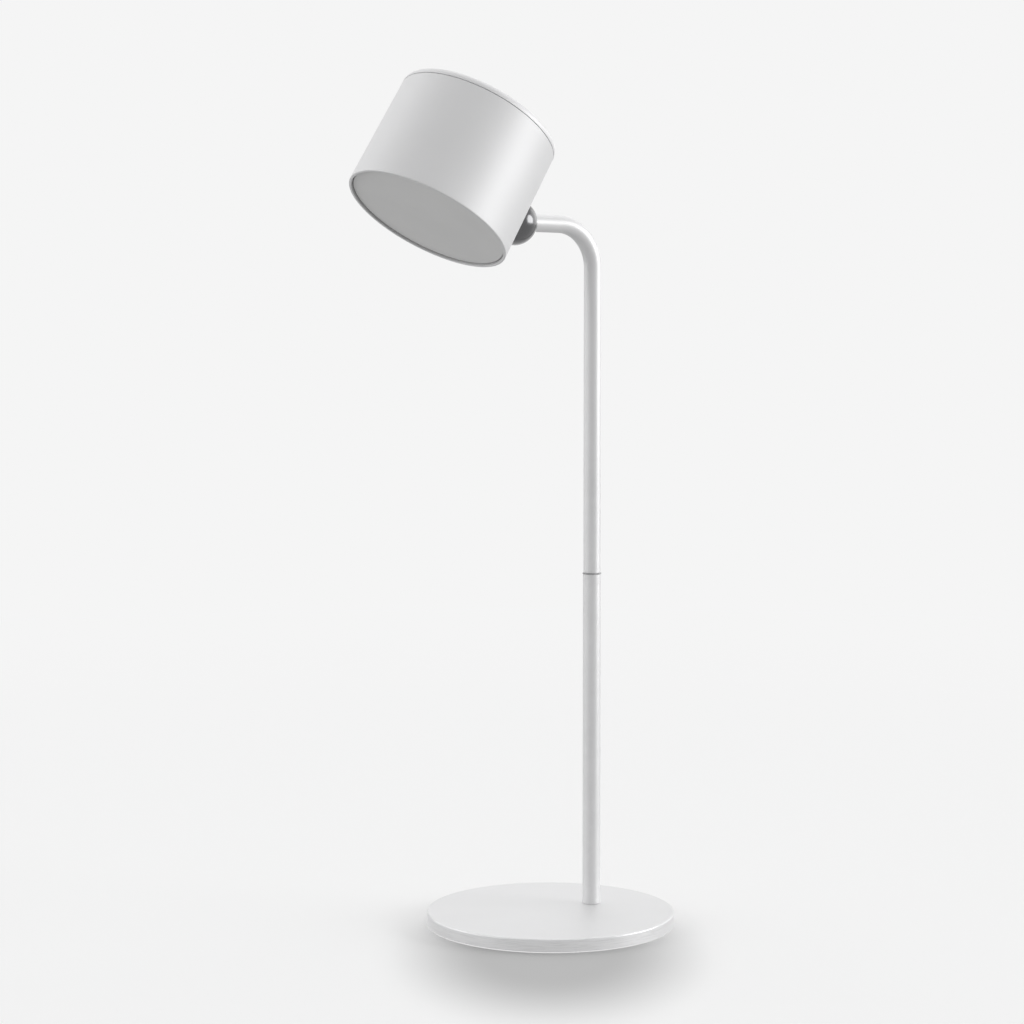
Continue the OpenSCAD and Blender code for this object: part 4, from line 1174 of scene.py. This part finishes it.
class LAMP_OT_pole(bpy.types.Operator):
    """Makes the two tubes and the gasket between them"""

    bl_idname = "lamp.pole"
    bl_label = "Pole and arm"

    def execute(self, context):
        path = [(0, POLE_Y, LOWER_LOW.z), (0, POLE_Y, LOWER_HIGH.z)]
        tube_piece(context, "lower_pole", "lower_tube", path, LOWER_R)
        path = [(0, POLE_Y, UPPER_LOW.z), (0, POLE_Y, ARM_Z), (0, UPPER_LOW.y, ARM_Z)]
        tube_piece(context, "upper_pole_and_arm", "upper_tube", path, UPPER_R, corner=2)
        inner = context.scene.lamp_sizes.gasket_bore / 2
        corners = [
            (inner, GASKET_LOW.z), (GASKET_R, GASKET_LOW.z, GASKET_ROUND),
            (GASKET_R, GASKET_HIGH.z, GASKET_ROUND), (inner, GASKET_HIGH.z),
        ]
        profile = rounded_profile(corners, closed=True)
        turned_piece(
            context, "gasket_ring", "gasket_rubber", STAND, "joint_gasket", profile,
            Matrix.Translation((0, POLE_Y, 0)), closed=True, segments=96,
        )
        return {"FINISHED"}


STUD_HOLE_R = 3.05 * MM
STUD_HOLE_DEPTH = 11.1 * MM
QUARTER_BACK = Matrix.Rotation(math.radians(-90), 4, "X")


class LAMP_OT_ball(bpy.types.Operator):
    """Makes the polished ball"""

    bl_idname = "lamp.ball"
    bl_label = "Ball"

    def execute(self, context):
        flat = math.sqrt(BALL_R**2 - UPPER_R**2)
        floor = flat - STUD_HOLE_DEPTH
        profile = [Vector(p) for p in ((0, floor), (STUD_HOLE_R, floor), (STUD_HOLE_R, flat))]
        start = math.degrees(math.asin(flat / BALL_R))
        profile += arc_profile((0, 0), BALL_R, start, -90, 96)
        profile[-1] = Vector((0, -BALL_R))
        turned_piece(
            context, "polished_ball", "ball_chrome", "ball", "ball", profile,
            Matrix.Translation(BALL_CENTRE) @ QUARTER_BACK, segments=128,
        )
        return {"FINISHED"}


DIFFUSER_THICK = 2 * MM
DIFFUSER_ROUND = 0.4 * MM
DIFFUSER_BACK_ROUND = 0.2 * MM
SKIRT_INSET = 2.0 * MM
SKIRT_WALL = 1.2 * MM
SKIRT_HEIGHT = 3.5 * MM
SNAP_HEIGHT = 2.5 * MM
SNAP_OUT = 0.35 * MM
SNAP_ROUND = 0.1 * MM
BUTTON_PROUD = 0.5 * MM
BUTTON_ROUND = 0.5 * MM
BUTTON_LAND = 1.3 * MM
FLANGE_BELOW = 2.1 * MM
FLANGE_THICK = 1.6 * MM
FLANGE_OUT = 1.5 * MM
FLANGE_ROUND = 0.2 * MM


class LAMP_OT_head(bpy.types.Operator):
    """Makes the diffuser and the power button of the head"""

    bl_idname = "lamp.head"
    bl_label = "Diffuser and button"

    def execute(self, context):
        sizes = context.scene.lamp_sizes
        self.make_diffuser(context, sizes)
        self.make_button(context, sizes)
        return {"FINISHED"}

    def make_diffuser(self, context, sizes):
        """The diffuser's disc with the skirt that snaps behind the shade's rib."""
        z = sizes.diffuser_recess
        top = z + DIFFUSER_THICK
        disc_r = wall_radius(sizes, z) - sizes.wall - sizes.diffuser_gap
        skirt_r = wall_radius(sizes, top) - sizes.wall - SKIRT_INSET
        corners = [
            (0, z), (disc_r, z, DIFFUSER_ROUND), (disc_r, top, DIFFUSER_BACK_ROUND), (skirt_r, top),
            (skirt_r, top + SNAP_HEIGHT), (skirt_r + SNAP_OUT, top + SNAP_HEIGHT, SNAP_ROUND),
            (skirt_r, top + SKIRT_HEIGHT), (skirt_r - SKIRT_WALL, top + SKIRT_HEIGHT),
            (skirt_r - SKIRT_WALL, top), (0, top),
        ]
        profile = rounded_profile(corners, steps=4)
        turned_piece(
            context, "opal_diffuser", "diffuser_opal", HEAD, "diffuser", profile,
            head_place(sizes),
        )

    def make_button(self, context, sizes):
        """The power button with its hidden flange and its dished top."""
        r = sizes.button_diameter / 2
        top = sizes.head_height + BUTTON_PROUD
        flange_top = sizes.head_height - FLANGE_BELOW
        flange_low = flange_top - FLANGE_THICK
        dish, dish_r = sizes.button_dish, r - BUTTON_LAND
        bowl_r = (dish_r**2 + dish**2) / (2 * dish)
        swing = math.degrees(math.asin(dish_r / bowl_r))
        corners = [
            (0, flange_low), (r + FLANGE_OUT, flange_low, FLANGE_ROUND),
            (r + FLANGE_OUT, flange_top, FLANGE_ROUND), (r, flange_top), (r, top, BUTTON_ROUND),
            (dish_r, top),
        ]
        profile = rounded_profile(corners)
        profile += arc_profile((0, top - dish + bowl_r), bowl_r, -90 + swing, -90, 14)[1:]
        profile[-1] = Vector((0, top - dish))
        turned_piece(
            context, "power_key", "button_plastic", "power_button", "power_button", profile,
            head_place(sizes), segments=96,
        )


# A turned face's corner normal that leans round the axis by less than this is set upright
SEAM_LEAN = 0.05
SEAM_WELD = MICRON


def even_copy(node, name, place):
    """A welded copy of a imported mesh, its turned faces shaded evenly across their seam."""
    mesh = frame["nodes"][node].data.copy()
    mesh.name = name
    up = place.to_3x3() @ Vector((0, 0, 1))
    kept = mesh.attributes.new("even_normal", "FLOAT_VECTOR", "CORNER")
    for loop, corner in zip(mesh.loops, mesh.corner_normals):
        out = mesh.vertices[loop.vertex_index].co - place.translation
        way_round = up.cross(out).normalized()
        normal = corner.vector.copy()
        lean = normal.dot(way_round)
        if abs(lean) < SEAM_LEAN:
            normal -= way_round * lean
        kept.data[loop.index].vector = normal.normalized()
    work = bmesh.new()
    work.from_mesh(mesh)
    bmesh.ops.remove_doubles(work, verts=work.verts, dist=SEAM_WELD)
    work.to_mesh(mesh)
    work.free()
    kept = mesh.attributes["even_normal"]
    normals = [corner.vector.copy() for corner in kept.data]
    mesh.attributes.remove(kept)
    if "custom_normal" in mesh.attributes:
        mesh.attributes.remove(mesh.attributes["custom_normal"])
    mesh.shade_smooth()
    mesh.normals_split_custom_set(normals)
    return mesh


class LAMP_OT_drum(bpy.types.Operator):
    """Makes the shade's shell and cap from the frame's own solids, evenly shaded"""

    bl_idname = "lamp.drum"
    bl_label = "Shade shell and cap"

    def execute(self, context):
        place = head_place(context.scene.lamp_sizes)
        for node, name in (("shade_shell", "drum_shell"), ("top_cap", "drum_cap")):
            piece = linked(name, even_copy(node, name, place))
            enlist_piece(context, piece, "shade_plastic", HEAD, node)
        return {"FINISHED"}


CONTACTS = {
    "Pitch": 0.5 * MM, "Size": (0.26 * MM, 0.08 * MM, 4.2 * MM), "Gap": 0.7 * MM,
    "Depth": -3.1 * MM,
}


class LAMP_OT_details(bpy.types.Operator):
    """Makes the inlet's contacts and the rings of light chips"""

    bl_idname = "lamp.details"
    bl_label = "Contacts and light chips"

    def execute(self, context):
        sizes = context.scene.lamp_sizes
        place = head_place(sizes)
        inlet = seen_from_head("charging_inlet", place)
        mouth = max(p.y for p in inlet)
        middle = (max(p.z for p in inlet) + min(p.z for p in inlet)) / 2
        strips = mesh_object("inlet_contacts", [(0, 0, 0)])
        finish = finish_of(context, "contact_steel")
        run_tree(strips, contact_strips, {**CONTACTS, "Material": finish})
        at_inlet = place @ Matrix.Translation((0, mouth, middle)) @ QUARTER_BACK
        finish_piece(context, strips, "contact_steel", HEAD, place=at_inlet)
        chips = mesh_object("light_chips", [(0, 0, 0)])
        finish = finish_of(context, "led_plastic")
        run_tree(chips, chip_rings, {"Pitch": sizes.light_pitch, "Material": finish})
        under = min(p.z for p in seen_from_head("led_board", place))
        at_board = place @ Matrix.Translation((0, 0, under))
        finish_piece(context, chips, "led_plastic", HEAD, "led_chips", place=at_board)
        return {"FINISHED"}


class LAMP_OT_frame_finishes(bpy.types.Operator):
    """Gives every carried-over piece of the frame its own finish"""

    bl_idname = "lamp.frame_finishes"
    bl_label = "Finishes of the frame"

    def execute(self, context):
        for obj in frame["nodes"].values():
            packed = obj.data.materials[0].name
            slot = packed.replace("packed_", "").split(".")[0]
            for holder in obj.material_slots:
                holder.material = finish_of(context, slot)
        return {"FINISHED"}


class LAMP_OT_stage(bpy.types.Operator):
    """Makes the floor, the lights, the backdrop and the camera"""

    bl_idname = "lamp.stage"
    bl_label = "Studio"

    def execute(self, context):
        studio = context.scene.lamp_studio
        make_floor(studio)
        make_world(studio)
        make_lights(studio)
        make_camera(studio)
        context.scene.view_settings.view_transform = "Standard"
        return {"FINISHED"}


# -------------------------------------------------------------------- studio

FLOOR_RINGS = (0.1, 0.25, 0.5, 1.0, 2.0, 4.0, 9.0)
FLOOR_SIDES = 96
FIBRE_SCALE = 600.0
FIBRE_DARK = 0.997
FADE_START, FADE_END = 0.5, 2.0
# Where the shadow painted in front of the base is darkest and where it ends, in its own half sizes
SHADE_CORE, SHADE_EDGE = 0.45, 1.35


def base_shade(tree, place, studio):
    """A wide soft shadow painted into the floor's colour in front of the base: 1 where there is
    none.
    """
    level = rotated(tree, place, -studio.camera_azimuth, "Z")
    shifted = vector_math(tree, "ADD", level, (0, studio.shade_offset, 0))
    squeeze = (1 / studio.shade_width, 1 / studio.shade_length, 0)
    far = vector_math(tree, "LENGTH", vector_math(tree, "MULTIPLY", shifted, squeeze))
    return ramp(tree, far, SHADE_CORE, SHADE_EDGE, 1 - studio.shade_depth, 1.0)


def floor_mesh():
    """A round floor made of rings of faces round its middle."""
    turns = [math.tau * k / FLOOR_SIDES for k in range(FLOOR_SIDES)]
    points = [(0, 0, 0)]
    points += [(r * math.cos(t), r * math.sin(t), 0) for r in FLOOR_RINGS for t in turns]
    sides = [(k, (k + 1) % FLOOR_SIDES) for k in range(FLOOR_SIDES)]
    faces = [(0, 1 + k, 1 + n) for k, n in sides]
    for i in range(len(FLOOR_RINGS) - 1):
        a = 1 + i * FLOOR_SIDES
        b = a + FLOOR_SIDES
        faces += [(a + k, b + k, b + n, a + n) for k, n in sides]
    return mesh_object("studio_floor", points, (), faces)


def mix_shaders(tree, factor, a, b):
    """Mixes two shaders by a factor."""
    values = {0: factor, 1: a, 2: b}
    return add_node(tree, "ShaderNodeMixShader", values).outputs[0]


def make_floor(studio):
    """A wide floor with a shadow painted in front of the base, that fades into the backdrop away
    from the lamp.
    """
    floor = floor_mesh()
    made = bpy.data.materials.new("floor_paper")
    made.use_nodes = True
    tree = made.node_tree
    tree.nodes.remove(tree.nodes["Principled BSDF"])
    place = tree.nodes.new("ShaderNodeTexCoord").outputs["Object"]
    path = tree.nodes.new("ShaderNodeLightPath").outputs
    fibre = noise(tree, place, FIBRE_SCALE, 3.0)
    pale = ramp(tree, fibre, 0.3, 0.7, studio.floor_pale * FIBRE_DARK, studio.floor_pale)
    # The floor's colour is darkened by the shadow painted in front of the base
    pale = times(tree, pale, base_shade(tree, place, studio))
    shade = blend_value(tree, path["Is Diffuse Ray"], pale, studio.floor_bounce)
    paper = add_node(tree, "ShaderNodeBsdfDiffuse", {"Color": shade}).outputs[0]
    glow = {"Color": rgba(studio.backdrop), "Strength": 1.0}
    flat = add_node(tree, "ShaderNodeEmission", glow).outputs[0]
    faded = ramp(tree, vector_math(tree, "LENGTH", place), FADE_START, FADE_END)
    direct = times(tree, faded, path["Is Camera Ray"])
    mirrored = math_node(tree, "MAXIMUM", path["Is Glossy Ray"], path["Is Transmission Ray"])
    mixed = mix_shaders(tree, math_node(tree, "MAXIMUM", direct, mirrored), paper, flat)
    under = tree.nodes.new("ShaderNodeNewGeometry").outputs["Backfacing"]
    clear = tree.nodes.new("ShaderNodeBsdfTransparent").outputs[0]
    both = mix_shaders(tree, under, mixed, clear)
    tree.links.new(both, tree.nodes["Material Output"].inputs["Surface"])
    floor.data.materials.append(made)


def make_world(studio):
    """Even light all round, with the backdrop's colour where it is seen."""
    world = bpy.data.worlds.new("studio_world")
    bpy.context.scene.world = world
    world.use_nodes = True
    tree = world.node_tree
    tree.nodes.clear()
    path = tree.nodes.new("ShaderNodeLightPath").outputs
    seen = math_node(tree, "MAXIMUM", path["Is Camera Ray"], path["Is Glossy Ray"])
    seen = math_node(tree, "MAXIMUM", seen, path["Is Transmission Ray"])
    even, plain = (
        add_node(tree, "ShaderNodeBackground", {"Color": colour, "Strength": strength}).outputs[0]
        for colour, strength in (((1, 1, 1, 1), studio.ambient), (rgba(studio.backdrop), 1.0))
    )
    end = tree.nodes.new("ShaderNodeOutputWorld")
    tree.links.new(mix_shaders(tree, seen, even, plain), end.inputs["Surface"])


# Name, azimuth from the camera to the right, height above the horizon, spread, strength
LIGHTS = [
    ("side_right", 88, 8, 36, 1.8),
    ("back_right", 125, 8, 50, 0.4),
    ("side_left", -100, 10, 60, 0.87),
    ("front_left", -60, 8, 40, 0.3),
    ("top_back", 180, 60, 70, 0.68),
]
LIGHT_DISTANCE = 2


def make_lights(studio):
    """Soft round lights, all far away so that they light the floor evenly."""
    for name, around, up, spread, strength in LIGHTS:
        data = bpy.data.lights.new(name, "SUN")
        data.energy = strength * studio.light_level
        data.angle = math.radians(spread)
        light = linked(name, data)
        a = studio.camera_azimuth + math.radians(around)
        e = math.radians(up)
        towards = Vector((math.sin(a) * math.cos(e), -math.cos(a) * math.cos(e), math.sin(e)))
        light.rotation_euler = towards.to_track_quat("Z", "Y").to_euler()
        light.location = towards * LIGHT_DISTANCE


# Where the camera aims, beside and above the middle of the base, in metres
AIM_RIGHT = -0.02563
AIM_UP = 0.27516
SENSOR_WIDTH = 36
NEAR_CLIP, FAR_CLIP = 0.05, 50


def make_camera(studio):
    """The camera at the photograph's place."""
    a = studio.camera_azimuth
    right = Vector((math.cos(a), math.sin(a), 0))
    away = studio.camera_distance
    eye = Vector((math.sin(a) * away, -math.cos(a) * away, studio.camera_height))
    target = right * AIM_RIGHT + Vector((0, 0, AIM_UP))
    data = bpy.data.cameras.new("photo_camera")
    data.lens = studio.lens
    data.sensor_width = SENSOR_WIDTH
    data.clip_start, data.clip_end = NEAR_CLIP, FAR_CLIP
    camera = linked("photo_camera", data)
    camera.location = eye
    camera.rotation_euler = (target - eye).to_track_quat("-Z", "Y").to_euler()
    bpy.context.scene.camera = camera


# ---------------------------------------------------------- panel and register

STEPS = [
    LAMP_OT_base,
    LAMP_OT_pole,
    LAMP_OT_ball,
    LAMP_OT_head,
    LAMP_OT_drum,
    LAMP_OT_details,
    LAMP_OT_frame_finishes,
    LAMP_OT_stage,
]


class LAMP_PT_sidebar(bpy.types.Panel):
    """Lists the lamp's sizes, finishes and steps"""

    bl_idname = "LAMP_PT_sidebar"
    bl_label = "Desk lamp"
    bl_space_type = "VIEW_3D"
    bl_region_type = "UI"
    bl_category = "Desk lamp"

    def draw(self, context):
        scene = context.scene
        for group in (scene.lamp_sizes, scene.lamp_finishes, scene.lamp_studio):
            box = self.layout.box()
            for name in group.__class__.__annotations__:
                box.prop(group, name)
        column = self.layout.column(align=True)
        for step in STEPS:
            column.operator(step.bl_idname)


CLASSES = [LampSizes, LampFinishes, LampStudio, *STEPS, LAMP_PT_sidebar]


def register():
    for made in CLASSES:
        bpy.utils.register_class(made)
    bpy.types.Scene.lamp_sizes = PointerProperty(type=LampSizes)
    bpy.types.Scene.lamp_finishes = PointerProperty(type=LampFinishes)
    bpy.types.Scene.lamp_studio = PointerProperty(type=LampStudio)


def unregister():
    del bpy.types.Scene.lamp_studio
    del bpy.types.Scene.lamp_finishes
    del bpy.types.Scene.lamp_sizes
    for made in reversed(CLASSES):
        bpy.utils.unregister_class(made)


def main():
    register()
    for step in STEPS:
        group, name = step.bl_idname.split(".")
        getattr(getattr(bpy.ops, group), name)()


if __name__ == "__main__":
    main()
